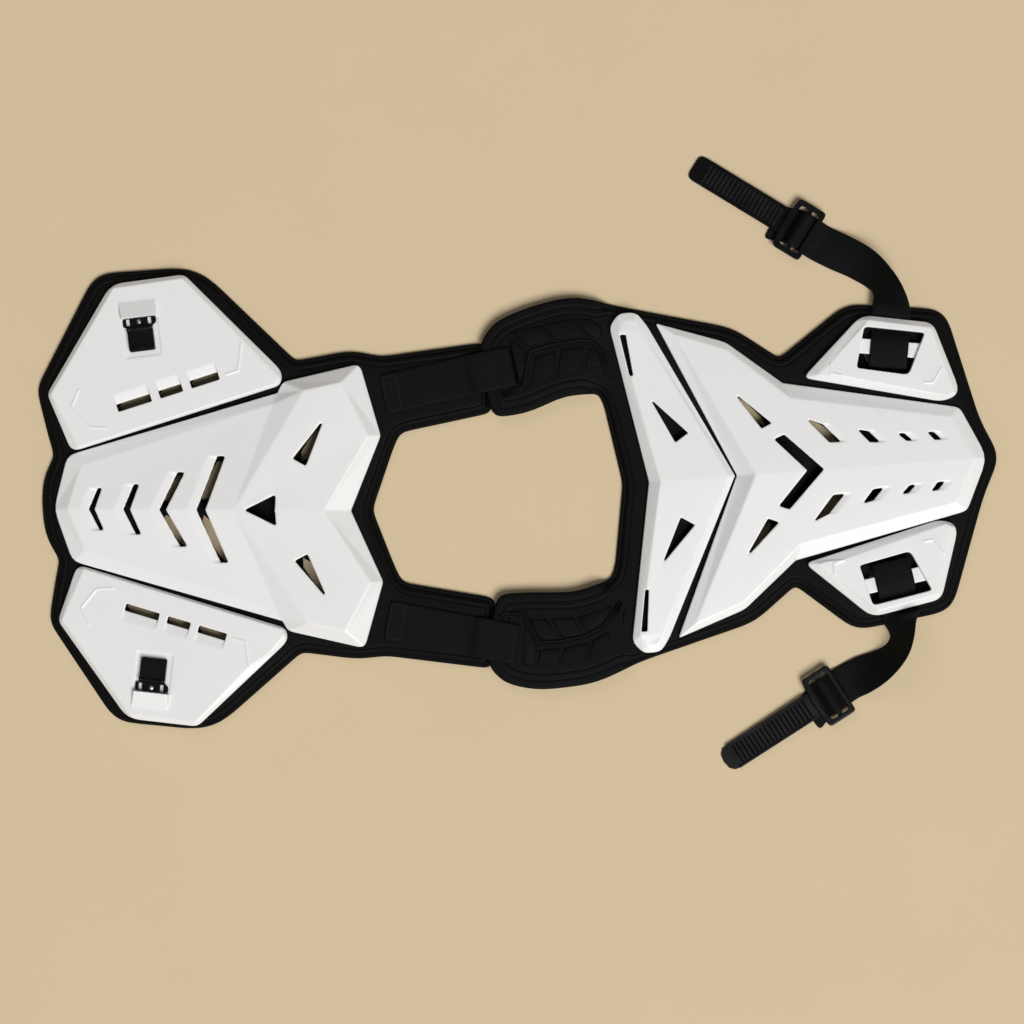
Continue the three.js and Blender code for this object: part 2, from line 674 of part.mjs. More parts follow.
// Stations of a straight passage of webbing through a frame.
function passage({ u, v, turn }, route, level = 0) {
  const heading = radians(turn);
  return route.map(({ along, z, side = 0 }) => ({
    u: u + along * Math.cos(heading) - side * Math.sin(heading),
    v: v + along * Math.sin(heading) + side * Math.cos(heading),
    z: level + z,
    across: turn - 90,
    roll: 0,
  }));
}

// The free run between two passages, along a smooth curve through its rows.
function freeRun(before, rows, after) {
  const stops = [before, ...rows, after];
  const curve = new THREE.CatmullRomCurve3(stops.map(({ u, v, z }) => new THREE.Vector3(u, v, z)));
  const steps = (stops.length - 1) * RUN_STEPS;
  const stations = [];
  for (let i = 1; i < steps; i += 1) {
    const at = curve.getPoint(i / steps);
    const from = stops[Math.floor(i / RUN_STEPS)];
    const to = stops[Math.min(Math.floor(i / RUN_STEPS) + 1, stops.length - 1)];
    const share = (i % RUN_STEPS) / RUN_STEPS;
    stations.push({
      u: at.x,
      v: at.y,
      z: at.z,
      across: THREE.MathUtils.lerp(from.across, to.across, share),
      roll: THREE.MathUtils.lerp(from.roll, to.roll, share),
    });
  }
  return stations;
}

// Foam liner: a thin flange all round and a thicker body inside it.
function liner(corners, openings) {
  const flange = slab(outline(corners), 0, FLANGE, 1.2);
  const raised = inset(corners, FLANGE_WIDTH).map((point, i) => ({ ...corners[i], ...point }));
  const body = slab(outline(raised), 0.5, FOAM, 1.5);
  return cut(flange.add(body), openings.map((loop) => through(inset(loop, -2.5))));
}

function chevronLoop({ outer, inner, endOuter, endInner, v, vOuter = v, vInner = v }) {
  return mirrored([
    { u: outer, v: 0 },
    { u: endOuter, v: vOuter },
    { u: endInner, v: vInner },
    { u: inner, v: 0 },
  ]);
}

// One arm of an open chevron, as a loop for the liner below it.
function chevronArm({ outer, inner, endOuter, endInner, v }) {
  return [{ u: outer, v: 5 }, { u: endOuter, v }, { u: endInner, v }, { u: inner, v: 5 }];
}

const bothSides = (loop) => [loop, loop.map(opposite).reverse()];

function chestPlate() {
  const plate = new FacetedPlate(CHEST_PLATE, CHEST_FACETS, settle);
  const height = (u, v) => plate.height(u, v);
  const vents = [CHEST_CENTRE_VENT, ...bothSides(CHEST_SIDE_VENT.loop), ...CHEVRONS.map(chevronLoop)];
  const cutters = vents.map((loop) => through(loop.map(settle)));
  CHEVRONS.forEach((chevron) => {
    const { outer, endOuter, v } = chevron;
    const run = { u: -CHEVRON_RAMP.run, v: 0 };
    [1, -1].forEach((side) => {
      const arm = [{ u: outer, v: 0 }, { u: endOuter, v: side * v }].map(settle);
      cutters.push(scoop(height, arm[0], arm[1], run, CHEVRON_RAMP.depth));
    });
  });
  return cut(plate.shell(), cutters);
}

function collarPlate() {
  const plate = new FacetedPlate(COLLAR_PLATE, COLLAR_FACETS);
  return cut(plate.shell(), COLLAR_VENTS.flatMap(({ loop }) => bothSides(loop)).map(through));
}

function backPlate() {
  const plate = new FacetedPlate(BACK_PLATE, BACK_FACETS);
  const height = (u, v) => plate.height(u, v);
  const cutters = [through(chevronLoop(BACK_CHEVRON))];
  BACK_VENTS.forEach(({ loop }) => {
    bothSides(loop).forEach((sided) => cutters.push(through(sided)));
    if (loop.length === 4) {
      [1, -1].forEach((side) => {
        const [from, to] = [loop[2], loop[3]].map(({ u, v }) => ({ u, v: side * v }));
        cutters.push(scoop(height, from, to, { u: VENT_RAMP.run, v: 0 }, VENT_RAMP.depth));
      });
    }
  });
  return cut(plate.shell(), cutters);
}

function slotLoop({ from, to }) {
  const { v, width } = WING_SLOT_ROW;
  return [{ u: from, v }, { u: to, v }, { u: to, v: v + width }, { u: from, v: v + width }];
}

// A point of the wing's frame in the frame of the front panel.
function fromWing(point) {
  const seam = new THREE.Vector2();
  const { x, y } = new THREE.Vector2(point.u, point.v).rotateAround(seam, radians(WING_FRAME.turn));
  return { ...point, u: x + WING_FRAME.u, v: y + WING_FRAME.v };
}

// How the wing of one side lies: its frame along the seam, and a map of its points into that frame.
function wingLie(side) {
  const share = side > 0 ? WING_SHARE.upper : WING_SHARE.lower;
  const lay = (point) => {
    const { v, ...rest } = fromWing({ ...point, v: point.v * share });
    const settled = settle({ ...rest, v: side * v });
    return { ...settled, v: side * settled.v };
  };
  const [start, end] = [{ u: 0, v: 0 }, { u: WING.at(-1).u, v: 0 }].map(lay);
  const along = Math.atan2(end.v - start.v, end.u - start.u);
  const local = (point) => {
    const { u, v, ...rest } = lay(point);
    const { x, y } = new THREE.Vector2(u - start.u, v - start.v).rotateAround(new THREE.Vector2(), -along);
    return { ...rest, u: x, v: y };
  };
  return { frame: { ...start, turn: THREE.MathUtils.radToDeg(along) }, local, buckle: local(BUCKLE_FRAME) };
}

// Raised hood over the way of the ladder strap, open towards the buckle.
function hoodParts(crown, buckle) {
  const { half, near, far, height, wall } = HOOD;
  const wedge = (side, start, end, foot, top) => hull([-side, side].flatMap((u) => [
    { u, v: start, z: foot },
    { u: u * 0.92, v: start, z: top },
    { u, v: end, z: foot },
  ]));
  const outside = wedge(half, near, far, crown - 1, crown + height);
  const inside = wedge(half - wall, near - 5, far - 7, crown - 0.3, crown + height - wall);
  return [outside, inside].map((body) => turned(body, buckle));
}

function wingPlate({ local, buckle }) {
  const { crown } = WING_HEIGHT;
  const { left, right, bottom, top, depth } = BUCKLE_POCKET;
  const [hood, mouth] = hoodParts(crown, buckle);
  const pocket = turned(box(left, right, bottom, top, crown - depth, crown + 5), buckle);
  const lines = WING_LINES.map((route) => raisedLine(route.map(local), MOULD_LINE, crown));
  const plate = crownedPlate(WING.map(local), WING_RIMS, WING_HEIGHT);
  const cutters = [mouth];
  WING_SLOTS.forEach((slot) => {
    const { v, width, run, depth: drop } = WING_SLOT_ROW;
    const [from, to] = [slot.from, slot.to].map((u) => local({ u, v: v + width }));
    cutters.push(through(slotLoop(slot).map(local)), scoop(() => crown, from, to, { u: 0, v: run }, drop));
  });
  return cut(union([plate.subtract(pocket), hood, ...lines]), cutters);
}

// Ratchet buckle: a riveted base with two ears, a pin through them and a lever on the pin.
const BASE_FOOT = WING_HEIGHT.crown - BUCKLE_POCKET.depth + GAP;
const BASE_TOP = BASE_FOOT + BUCKLE_PLATE;
const AXIS_Z = BASE_TOP + GAP + HINGE.radius;

function rod(radius, from, to, sides = 14) {
  const geometry = new THREE.CylinderGeometry(radius, radius, to - from, sides);
  return solid(geometry.rotateZ(Math.PI / 2).translate((from + to) / 2, HINGE.y, AXIS_Z));
}

function post(radius, bottom, top, { u, v }, sides = 14) {
  const geometry = new THREE.CylinderGeometry(radius, radius, top - bottom, sides);
  return solid(geometry.rotateX(Math.PI / 2).translate(u, v, (bottom + top) / 2));
}

function buckleBase() {
  const { y, radius, bore, ear } = HINGE;
  const plate = slab(outline(BUCKLE_BASE), BASE_FOOT, BASE_TOP, 0.3);
  const ears = [1, -1].flatMap((side) => {
    const [from, to] = [side * ear[0], side * ear[1]].sort((a, b) => a - b);
    return [rod(radius, from, to), box(from, to, y - radius, y + radius, BASE_TOP - 0.5, AXIS_Z)];
  });
  const { width, length } = BUCKLE_SLOT;
  const slots = BUCKLE_SLOTS.map(({ u, v }) => (
    box(u - width / 2, u + width / 2, v - length / 2, v + length / 2, BASE_FOOT - 1, BASE_TOP + 1)
  ));
  const hole = post(RIVET.bore, BASE_FOOT - 1, BASE_TOP + 1, { u: 0, v: RIVET.y });
  return cut(union([plate, ...ears]), [...slots, hole, rod(bore, -20, 20)]);
}

function buckleLever() {
  const { y, radius, bore, inner } = HINGE;
  const low = BASE_TOP + GAP;
  const front = y - radius - 1;
  const paddle = outline([
    { u: -LEVER.half, v: LEVER.end, round: 2 },
    { u: LEVER.half, v: LEVER.end, round: 2 },
    { u: LEVER.half, v: front },
    { u: -LEVER.half, v: front },
  ]);
  const plate = slab(paddle, low, low + LEVER.thick, 0.4);
  const neck = box(-inner, inner, front - 1, y, low, low + LEVER.thick);
  const gripHalf = LEVER.half - 2.5;
  const gripTop = low + LEVER.thick + 0.9;
  const grip = box(-gripHalf, gripHalf, LEVER.end + 2, LEVER.end + 5, low + 1, gripTop);
  return union([plate, neck, grip, rod(radius, -inner, inner)]).subtract(rod(bore, -20, 20));
}

function buckleRivet() {
  const { head, dome, shank } = RIVET;
  const foot = BASE_FOOT + 0.2;
  const seat = BASE_TOP + GAP;
  const profile = [[0, foot], [shank, foot], [shank, seat], [head, seat], [head * 0.8, seat + dome * 0.7],
    [0, seat + dome]];
  const lathe = new THREE.LatheGeometry(profile.map(([r, z]) => new THREE.Vector2(r, z)), 14);
  return solid(lathe.rotateX(Math.PI / 2).translate(0, RIVET.y, 0));
}

function sidePlate() {
  const { width, length, bottom, top } = SIDE_BAR;
  const plate = crownedPlate(SIDE_PLATE, SIDE_RIMS, SIDE_HEIGHT);
  const { from, to, half, height } = SIDE_NOTCH;
  const notch = turned(box(-half, half, from, to, -5, height), SIDE_BAR);
  const cast = turned(box(-length / 2, length / 2, -width / 2, width / 2, bottom, top), SIDE_BAR);
  const bar = cast.intersect(slab(outline(inset(SIDE_WINDOW, -3)), -1, 40));
  const frame = slab(outline(inset(SIDE_WINDOW, -3)), 3.2, SIDE_HEIGHT.crown - 1)
    .subtract(through(SIDE_WINDOW));
  const lines = SIDE_LINES.map((route) => raisedLine(route, MOULD_LINE, SIDE_HEIGHT.crown));
  return cut(union([plate.subtract(through(SIDE_WINDOW)), frame, bar, ...lines]), [notch]);
}

// Raised blocks between neighbouring cross cuts of a field.
function padBlocks(field, side) {
  const { groove, height } = PAD_BLOCK;
  return field.slice(1).map((right, i) => {
    const left = field[i];
    const loop = [
      { u: left.uIn, v: left.vIn },
      { u: right.uIn, v: right.vIn },
      { u: right.uOut, v: right.vOut },
      { u: left.uOut, v: left.vOut },
    ];
    const base = inset(loop, groove / 2);
    const top = inset(loop, groove / 2 + height * 0.8);
    const lay = ({ u, v }, z) => ({ ...drape({ u, v: side * v }), z });
    return hull([
      ...base.map((point) => lay(point, PAD - 2)),
      ...base.map((point) => lay(point, PAD)),
      ...top.map((point) => lay(point, PAD + height)),
    ]);
  });
}

function shoulderPad(side, rooms) {
  const lay = (rows) => rows.map(({ v, ...rest }) => drape({ ...rest, v: side * v }));
  const base = slab(outline(lay(PAD_OUTLINE)), 0, PAD, 2.4);
  const blocks = PAD_FIELDS.flatMap((field) => padBlocks(field, side));
  const ridge = raisedLine(lay(PAD_RIDGE), PAD_RIB, PAD, 2);
  return cut(union([base, ridge, ...blocks]), rooms);
}

function slider() {
  const { near, far, bow, half, rim, bottom, top, bar, barTop } = SLIDER;
  const loop = (inset) => [
    { u: near + inset, v: -half + inset, round: 4 },
    { u: far - inset, v: -half + inset, round: 4 },
    { u: far + bow - inset, v: 0, round: 10 },
    { u: far - inset, v: half - inset, round: 4 },
    { u: near + inset, v: half - inset, round: 4 },
  ];
  const frame = slab(outline(loop(0)), bottom, top, 1).subtract(through(loop(rim)));
  return frame.add(box(-bar / 2, bar / 2, -half + 3, half - 3, bottom, barTop));
}

function ladder(tipRound) {
  const { from, tip, width, thick, pitch, teeth } = LADDER;
  const half = width / 2;
  const tongue = slab(outline([
    { u: from, v: -half, round: 2 },
    { u: tip, v: -half, round: tipRound },
    { u: tip, v: half, round: tipRound },
    { u: from, v: half, round: 2 },
  ]), 0, thick, 0.3);
  const rail = LADDER_RAIL;
  const rails = [-half, half - rail.width].map((v) => (
    box(rail.from, rail.to, v + 0.3, v + rail.width - 0.3, thick / 2, thick + rail.height)
  ));
  const tooth = LADDER_TOOTH;
  const rungs = Array.from({ length: teeth }, (_, i) => {
    const start = tooth.from + i * pitch;
    const section = (z, end) => [-tooth.half, tooth.half].map((v) => ({ u: end, v, z }));
    return hull([
      ...section(thick / 2, start),
      ...section(thick / 2, start + tooth.length),
      ...section(thick + tooth.height, start + tooth.length),
      ...section(thick + 0.2, start),
    ]);
  });
  return union([tongue, ...rails, ...rungs]);
}

function sideStrap({ side, slider: end, run }, bar) {
  const atBar = passage({ ...bar, turn: bar.turn + side * 90 }, BAR_ROUTE, SEAT);
  const atSlider = passage(end, SLIDER_ROUTE);
  const first = side > 0 ? atBar : atBar.map((station) => ({ ...station, across: station.across + 180 }));
  const turnBack = side > 0 ? 0 : 180;
  const last = atSlider.map((station) => ({ ...station, across: station.across + turnBack }));
  return ribbon([...first, ...freeRun(first.at(-1), run, last[0]), ...last], WEB);
}

const protector = new THREE.Group();
protector.name = 'chest_protector';
const front = framed({ u: FRONT.x, v: FRONT.y, turn: FRONT.turn });
const back = framed({ u: BACK.x, v: BACK.y, turn: BACK.turn });
protector.add(front, back);
[front, back].forEach((panel) => panel.updateMatrixWorld(true));

// Front panel: liner, chest plate, wings with their buckles and the shoulder straps.
const chestOpenings = [
  ...bothSides(CHEST_SIDE_VENT.loop),
  ...CHEVRONS.filter(({ open }) => open).flatMap((chevron) => bothSides(chevronArm(chevron))),
  ...WING_SLOTS.flatMap((slot) => bothSides(slotLoop(slot).map(fromWing))),
];
const frontOutline = mirrored(FRONT_LINER)
  .map(({ low = 0, ...corner }) => settle({ ...corner, v: corner.v < 0 ? corner.v - low : corner.v }));
front.add(piece('front_liner', liner(frontOutline, chestOpenings.map((loop) => loop.map(settle))), 'foam'));
const chest = piece('chest_plate', chestPlate(), 'plate');
chest.position.z = SEAT;
front.add(chest);

const SIDES = [{ name: 'upper', side: 1 }, { name: 'lower', side: -1 }];
SIDES.forEach(({ name, side }) => {
  const lie = wingLie(side);
  const wing = framed(lie.frame, side);
  wing.position.z = SEAT;
  wing.add(piece(`chest_wing_${name}`, wingPlate(lie), 'plate', side));
  const buckle = framed(lie.buckle, side);
  buckle.add(piece(`buckle_base_${name}`, buckleBase(), 'plastic', side));
  buckle.add(piece(`buckle_lever_${name}`, buckleLever(), 'plastic', side));
  buckle.add(piece(`buckle_pin_${name}`, rod(HINGE.pin, -HINGE.ear[1], HINGE.ear[1]), 'steel', side));
  buckle.add(piece(`buckle_rivet_${name}`, buckleRivet(), 'steel', side));
  wing.add(buckle);
  front.add(wing);

  const { u, v, turn, width } = SHOULDER_STRAP;
  const strap = ribbon(passage({ u, v, turn }, SHOULDER_ROUTE), { ...WEB, width });
  front.add(piece(`shoulder_strap_${name}`, strap, 'webbing', side));
});

// Room for a front tab below the end of a shoulder pad and for the strap in its slot, as seen from the
// back panel.
const toBack = back.matrixWorld.clone().invert().multiply(front.matrixWorld);
function padRooms(side) {
  const { u, v, turn } = SHOULDER_STRAP;
  const tab = box(TAB_END.from, TAB_END.to, -TAB_END.half, TAB_END.half, -5, FOAM + GAP);
  const mouth = box(PAD_SLOT.from, PAD_SLOT.to, -PAD_SLOT.half, PAD_SLOT.half, -5, PAD + 10);
  const slot = turned(mouth, { u, v: side * v, turn: side * turn });
  return [tab, slot].map((body) => solid(geometryOf(body).applyMatrix4(toBack)));
}

// Back panel: liner, plates, shoulder pads, and the side straps with their sliders and ladders.
const backLoops = BACK_VENTS.filter(({ open }) => open).map(({ loop }) => loop);
const windowLoop = (side) => SIDE_WINDOW.map((corner) => ({ ...corner, v: side * corner.v }));
const sideShift = (side) => {
  const at = drape({ u: SIDE_BAR.u, v: side * SIDE_BAR.v });
  return { u: at.u - SIDE_BAR.u, v: at.v - side * SIDE_BAR.v };
};
const windows = [1, -1].map((side) => {
  const shift = sideShift(side);
  const loop = windowLoop(side)
    .map((corner) => ({ ...corner, u: corner.u + shift.u, v: corner.v + shift.v }));
  return inset(loop, 4);
});
const backOpenings = [...backLoops.flatMap(bothSides), ...windows];
back.add(piece('back_liner', liner(mirrored(BACK_LINER).map(drape), backOpenings), 'foam'));
[['collar_plate', collarPlate()], ['back_plate', backPlate()]].forEach(([name, body]) => {
  const plate = piece(name, body, 'plate');
  plate.position.z = SEAT;
  back.add(plate);
});

SIDES.forEach(({ name, side }, i) => {
  const shift = sideShift(side);
  const plate = piece(`side_plate_${name}`, sidePlate(), 'plate', side);
  plate.position.set(shift.u, shift.v, SEAT);
  back.add(plate, piece(`shoulder_pad_${name}`, shoulderPad(side, padRooms(side)), 'foam'));

  const route = SIDE_STRAPS[i];
  const bar = { u: SIDE_BAR.u + shift.u, v: side * SIDE_BAR.v + shift.v, turn: side * SIDE_BAR.turn };
  back.add(piece(`side_strap_${name}`, sideStrap(route, bar), 'webbing'));

  const end = framed(route.slider);
  const tongue = piece(`ladder_strap_${name}`, ladder(route.tipRound), 'plastic');
  const fall = (LADDER.bottom - GAP) / (LADDER.tip - LADDER.level);
  tongue.rotation.y = Math.atan(fall);
  tongue.position.z = LADDER.bottom + LADDER.level * fall;
  end.add(piece(`strap_slider_${name}`, slider(), 'plastic'), tongue);
  back.add(end);
});

// The origin is below the centre of the whole protector.
protector.updateMatrixWorld(true);
const centre = new THREE.Box3().setFromObject(protector, true).getCenter(new THREE.Vector3());
protector.children.forEach((panel) => {
  panel.position.x -= centre.x;
  panel.position.y -= centre.y;
});
protector.updateMatrixWorld(true);

export default protector;
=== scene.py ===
import math
import bpy
import bmesh
from mathutils import Matrix, Vector
from mathutils.bvhtree import BVHTree


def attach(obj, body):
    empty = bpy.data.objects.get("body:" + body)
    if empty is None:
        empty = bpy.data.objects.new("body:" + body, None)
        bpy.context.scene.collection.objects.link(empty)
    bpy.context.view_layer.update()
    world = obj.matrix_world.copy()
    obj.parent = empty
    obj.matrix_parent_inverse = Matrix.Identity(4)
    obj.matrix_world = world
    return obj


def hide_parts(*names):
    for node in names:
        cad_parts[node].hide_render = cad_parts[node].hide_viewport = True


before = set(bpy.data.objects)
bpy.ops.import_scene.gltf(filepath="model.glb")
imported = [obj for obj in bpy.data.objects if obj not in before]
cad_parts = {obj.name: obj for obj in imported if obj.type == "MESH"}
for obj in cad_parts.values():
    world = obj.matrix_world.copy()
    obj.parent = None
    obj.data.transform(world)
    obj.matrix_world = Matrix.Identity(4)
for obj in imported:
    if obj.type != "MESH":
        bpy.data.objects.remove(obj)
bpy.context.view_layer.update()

# The photographer's table: a plain pale board, a broad soft light from the foot side that brightens
# the plates' lower slopes, a weaker one from above, and a camera that looks straight down.
MM = 0.001
scene = bpy.context.scene
PICTURE_CENTRE = Vector((-5.6 * MM, -49.33 * MM, 0.0))
PICTURE_WIDTH = 1.024
LENS = 85.0
SENSOR = 36.0
OBJECT_LEVEL = 12 * MM
TABLE_COLOUR = (0.66, 0.525, 0.333, 1.0)
TABLE_HALF = 4.0
TABLE_LEVEL = -0.2 * MM
LIGHTS = (
    # name, place in metres, side of its square in metres, power in watts
    ("softbox_foot", (6.2, -10.0, 16.2), 11.0, 4250.0),
    ("softbox_head", (-2.6, 3.6, 4.0), 3.0, 30.0),
)
ROOM_COLOUR = (1.0, 0.98, 0.95, 1.0)
ROOM_STRENGTH = 0.14

camera_data = bpy.data.cameras.new("camera_above")
camera_data.lens = LENS
camera_data.sensor_width = SENSOR
camera = bpy.data.objects.new("camera_above", camera_data)
camera.location = PICTURE_CENTRE + Vector((0, 0, PICTURE_WIDTH * LENS / SENSOR + OBJECT_LEVEL))
scene.collection.objects.link(camera)
scene.camera = camera
scene.view_settings.view_transform = "Standard"


def feed(material, socket, value):
    """Sets a socket to a constant, or links another node's output to it."""
    if isinstance(value, bpy.types.NodeSocket):
        material.node_tree.links.new(value, socket)
    else:
        socket.default_value = value


def node(material, kind, settings=None, **sockets):
    """Adds a node with attribute settings and socket values; a value may be another node's output."""
    made = material.node_tree.nodes.new(kind)
    for name, value in (settings or {}).items():
        setattr(made, name, value)
    for name, value in sockets.items():
        feed(material, made.inputs[name], value)
    return made


def new_material(name, **sockets):
    """A Principled material with constant values set on the shader's own sockets."""
    material = bpy.data.materials.new(name)
    material.use_nodes = True
    shader = material.node_tree.nodes["Principled BSDF"]
    for socket, value in sockets.items():
        shader.inputs[socket.replace("_", " ")].default_value = value
    return material, shader


def drive(material, shader, **sockets):
    """Links outputs to the shader's sockets."""
    for socket, output in sockets.items():
        material.node_tree.links.new(output, shader.inputs[socket.replace("_", " ")])


def shade(colour, share):
    """A colour darkened to a share of itself."""
    return (*(channel * share for channel in colour[:3]), 1.0)


def noise(material, scale, detail):
    """A noise pattern in the piece's own coordinates."""
    coords = node(material, "ShaderNodeTexCoord").outputs["Object"]
    return node(material, "ShaderNodeTexNoise", Vector=coords, Scale=scale, Detail=detail).outputs["Fac"]


def ramp(material, factor, low, high):
    """A colour that follows a factor from low to high."""
    stops = node(material, "ShaderNodeValToRGB", Fac=factor)
    for element, colour in zip(stops.color_ramp.elements, (low, high)):
        element.color = colour
    return stops.outputs["Color"]


def between(material, factor, low, high):
    """A value that follows a factor from low to high."""
    span = {"To Min": low, "To Max": high}
    return node(material, "ShaderNodeMapRange", Value=factor, **span).outputs[0]


def embossed(material, height, strength, depth):
    """A surface bumped by a pattern of heights."""
    bump = node(material, "ShaderNodeBump", Height=height, Strength=strength, Distance=depth)
    return bump.outputs["Normal"]


def place(name, bm, material):
    """Makes a smoothly shaded object at the origin from a bmesh."""
    mesh = bpy.data.meshes.new(name)
    bm.to_mesh(mesh)
    bm.free()
    mesh.materials.append(material)
    mesh.polygons.foreach_set("use_smooth", [True] * len(mesh.polygons))
    made = bpy.data.objects.new(name, mesh)
    scene.collection.objects.link(made)
    return made


table_material, shader = new_material("table_board", Roughness=0.85)
fibre = noise(table_material, scale=9.0, detail=6.0)
tooth = noise(table_material, scale=700.0, detail=3.0)
drive(table_material, shader,
      Base_Color=ramp(table_material, fibre, shade(TABLE_COLOUR, 0.97), TABLE_COLOUR),
      Normal=embossed(table_material, tooth, strength=0.08, depth=1.0 * MM))
bm = bmesh.new()
bmesh.ops.create_grid(bm, x_segments=1, y_segments=1, size=TABLE_HALF)
bmesh.ops.translate(bm, verts=bm.verts, vec=(0, 0, TABLE_LEVEL))
place("table", bm, table_material)

for name, spot, size, power in LIGHTS:
    lamp = bpy.data.lights.new(name, "AREA")
    lamp.shape = "SQUARE"
    lamp.size = size
    lamp.energy = power
    softbox = bpy.data.objects.new(name, lamp)
    softbox.location = spot
    softbox.rotation_euler = (PICTURE_CENTRE - Vector(spot)).to_track_quat("-Z", "Y").to_euler()
    scene.collection.objects.link(softbox)
world = bpy.data.worlds.new("studio")
world.use_nodes = True
room = world.node_tree.nodes["Background"]
room.inputs["Color"].default_value = ROOM_COLOUR
room.inputs["Strength"].default_value = ROOM_STRENGTH
scene.world = world


# Liners and shoulder pads: black foam faced with fine knit, each panel pressed as one sheet in a hot mould.
# The mould leaves a thin flange, a soft step and pressed lines along the edge. The back panel thickens
# into the two shoulder pads, whose strap slots are pockets.
LINER_EDGE = {
    # levels of the edge and of the field, and inward and upward move of each pressed line, in mm
    "rim": 1.2, "start": 2.0, "top": 9.0,
    "steps": ((0.5, 1.4), (0.8, 0.9), (1.2, 0.25), (0.8, -0.35), (0.7, -0.15), (0.7, 1.2), (0.7, 1.9),
              (0.8, 1.0), (1.2, 0.5), (1.4, 0.15), (0.8, -0.7), (0.7, -0.1), (0.8, 0.75), (1.4, 0.1)),
}
PAD_EDGE = {
    "rim": 9.6, "start": 9.6, "top": 12.0,
    "steps": ((0.4, 0.9), (0.8, 0.75), (1.2, 0.35), (3.4, 0.15), (1.6, 0.1), (0.8, -0.5), (0.7, -0.15),
              (0.7, 0.5), (3.4, 0.25), (1.4, 0.1), (0.8, -0.7), (0.6, -0.15), (0.8, 0.75), (1.3, 0.1)),
}
PAD_POCKET = 3.2 * MM
FOAM_FOOT = 0.25 * MM
FOOT_ROUND = 0.9 * MM
RIM_DROP = 0.5 * MM
FOAM_DARK = (0.0008, 0.0008, 0.0009, 1.0)
FOAM_DUSTY = (0.0028, 0.0028, 0.003, 1.0)
OUTLINE_STEP = 5 * MM
OUTLINE_ROUNDS = 2
CORNER_REACH = 1.6
# Where the shoulder pads begin on the back panel: outer and inner end of each joint, in mm.
JOINTS = (((94.01, 158.38), (81.12, 71.49)), ((120.38, -200.66), (94.32, -118.61)))
JOINT_GAP = 1.2 * MM
JOINT_SLOPE = (1 * MM, 15 * MM)
JOINT_LINES = (1 * MM, 6 * MM, 11 * MM, 16 * MM)
JOINT_ROUND = 16 * MM
JOINT_ROUNDS = 14
# Shares of a joint's length: all of it, and the stretches that hold its outer and its inner end.
JOINT_SPAN = (-0.02, 1.02)
JOINT_HALVES = ((-0.4, 0.5), (0.5, 1.4))
# How close points, levels and pressed lines count as the same, and how far a wall may lean.
POINT_SLACK = 0.02 * MM
LEVEL_SLACK = 0.05 * MM
LINE_SLACK = 0.45 * MM
WALL_TILT = 0.05
FAR_BELOW = -1.0


def solid_copy(name):
    """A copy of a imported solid's mesh with its loose triangles joined."""
    bm = bmesh.new()
    bm.from_mesh(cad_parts[name].data)
    bmesh.ops.remove_doubles(bm, verts=bm.verts, dist=POINT_SLACK)
    return bm


def add_mesh(bm, other):
    """Joins another bmesh into bm."""
    passing = bpy.data.meshes.new("passing")
    other.to_mesh(passing)
    other.free()
    bm.from_mesh(passing)
    bpy.data.meshes.remove(passing)


def edges_at(bm, level):
    """Edges that lie at a level."""
    return [e for e in bm.edges if all(abs(v.co.z - level) < LEVEL_SLACK for v in e.verts)]


def beside_wall(edge):
    """Whether an edge has an upright face beside it."""
    return any(abs(face.normal.z) < WALL_TILT for face in edge.link_faces)


def largest(bm):
    """The face with the most corners, which is the open field inside the pressed lines."""
    return max(bm.faces, key=lambda face: len(face.verts))


def verts_of(edges):
    return list({v for e in edges for v in e.verts})


def edges_of(made):
    return [e for e in made["geom"] if isinstance(e, bmesh.types.BMEdge)]


def smoothstep(value, low, high):
    """A share that rises softly from 0 at low to 1 at high."""
    share = min(max((value - low) / (high - low), 0.0), 1.0)
    return share * share * (3 - 2 * share)


def beside_joint(point, joint):
    """How far a point is past a joint into its pad, and its place along the joint as a share."""
    outer, inner = (Vector(end) * MM for end in joint)
    along = inner - outer
    past = Vector((along.y, -along.x)) * -math.copysign(1.0, along.y)
    offset = point.xy - outer
    return offset.dot(past) / along.length, offset.dot(along) / along.length_squared


def pad_share(point, joints):
    """0 in a liner, 1 in a pad and between them on the slope past a joint."""
    return max((smoothstep(beside_joint(point, joint)[0], *JOINT_SLOPE) for joint in joints), default=0.0)


def mixed(key, point, joints):
    """A level of the foam's edge at a point."""
    return (LINER_EDGE[key] + (PAD_EDGE[key] - LINER_EDGE[key]) * pad_share(point, joints)) * MM


def foam_lines(replaced, edge):
    """The outline of a solid, laid at level 0, and the edges of its openings."""
    bm = solid_copy(replaced)
    kept = {e for key in ("rim", "top") for e in edges_at(bm, edge[key] * MM) if beside_wall(e)}
    bmesh.ops.delete(bm, geom=bm.faces[:], context="FACES_ONLY")
    bmesh.ops.delete(bm, geom=[e for e in bm.edges if e not in kept], context="EDGES")
    bmesh.ops.delete(bm, geom=[v for v in bm.verts if not v.link_edges], context="VERTS")
    for vert in verts_of(edges_at(bm, edge["rim"] * MM)):
        vert.co.z = 0.0
    return bm


def join_outlines(bm, joints):
    """Takes out the edges along the joints and joins the open ends, so that one outline goes round."""
    def near(vert, joint):
        past, along = beside_joint(vert.co, joint)
        return abs(past) < JOINT_GAP and JOINT_SPAN[0] < along < JOINT_SPAN[1]

    seams = [e for e in edges_at(bm, 0.0) if any(all(near(v, joint) for v in e.verts) for joint in joints)]
    bmesh.ops.delete(bm, geom=seams, context="EDGES")
    bmesh.ops.delete(bm, geom=[v for v in bm.verts if not v.link_edges], context="VERTS")
    ends = [v for v in bm.verts if len(v.link_edges) == 1]
    bmesh.ops.remove_doubles(bm, verts=ends, dist=2 * JOINT_GAP)


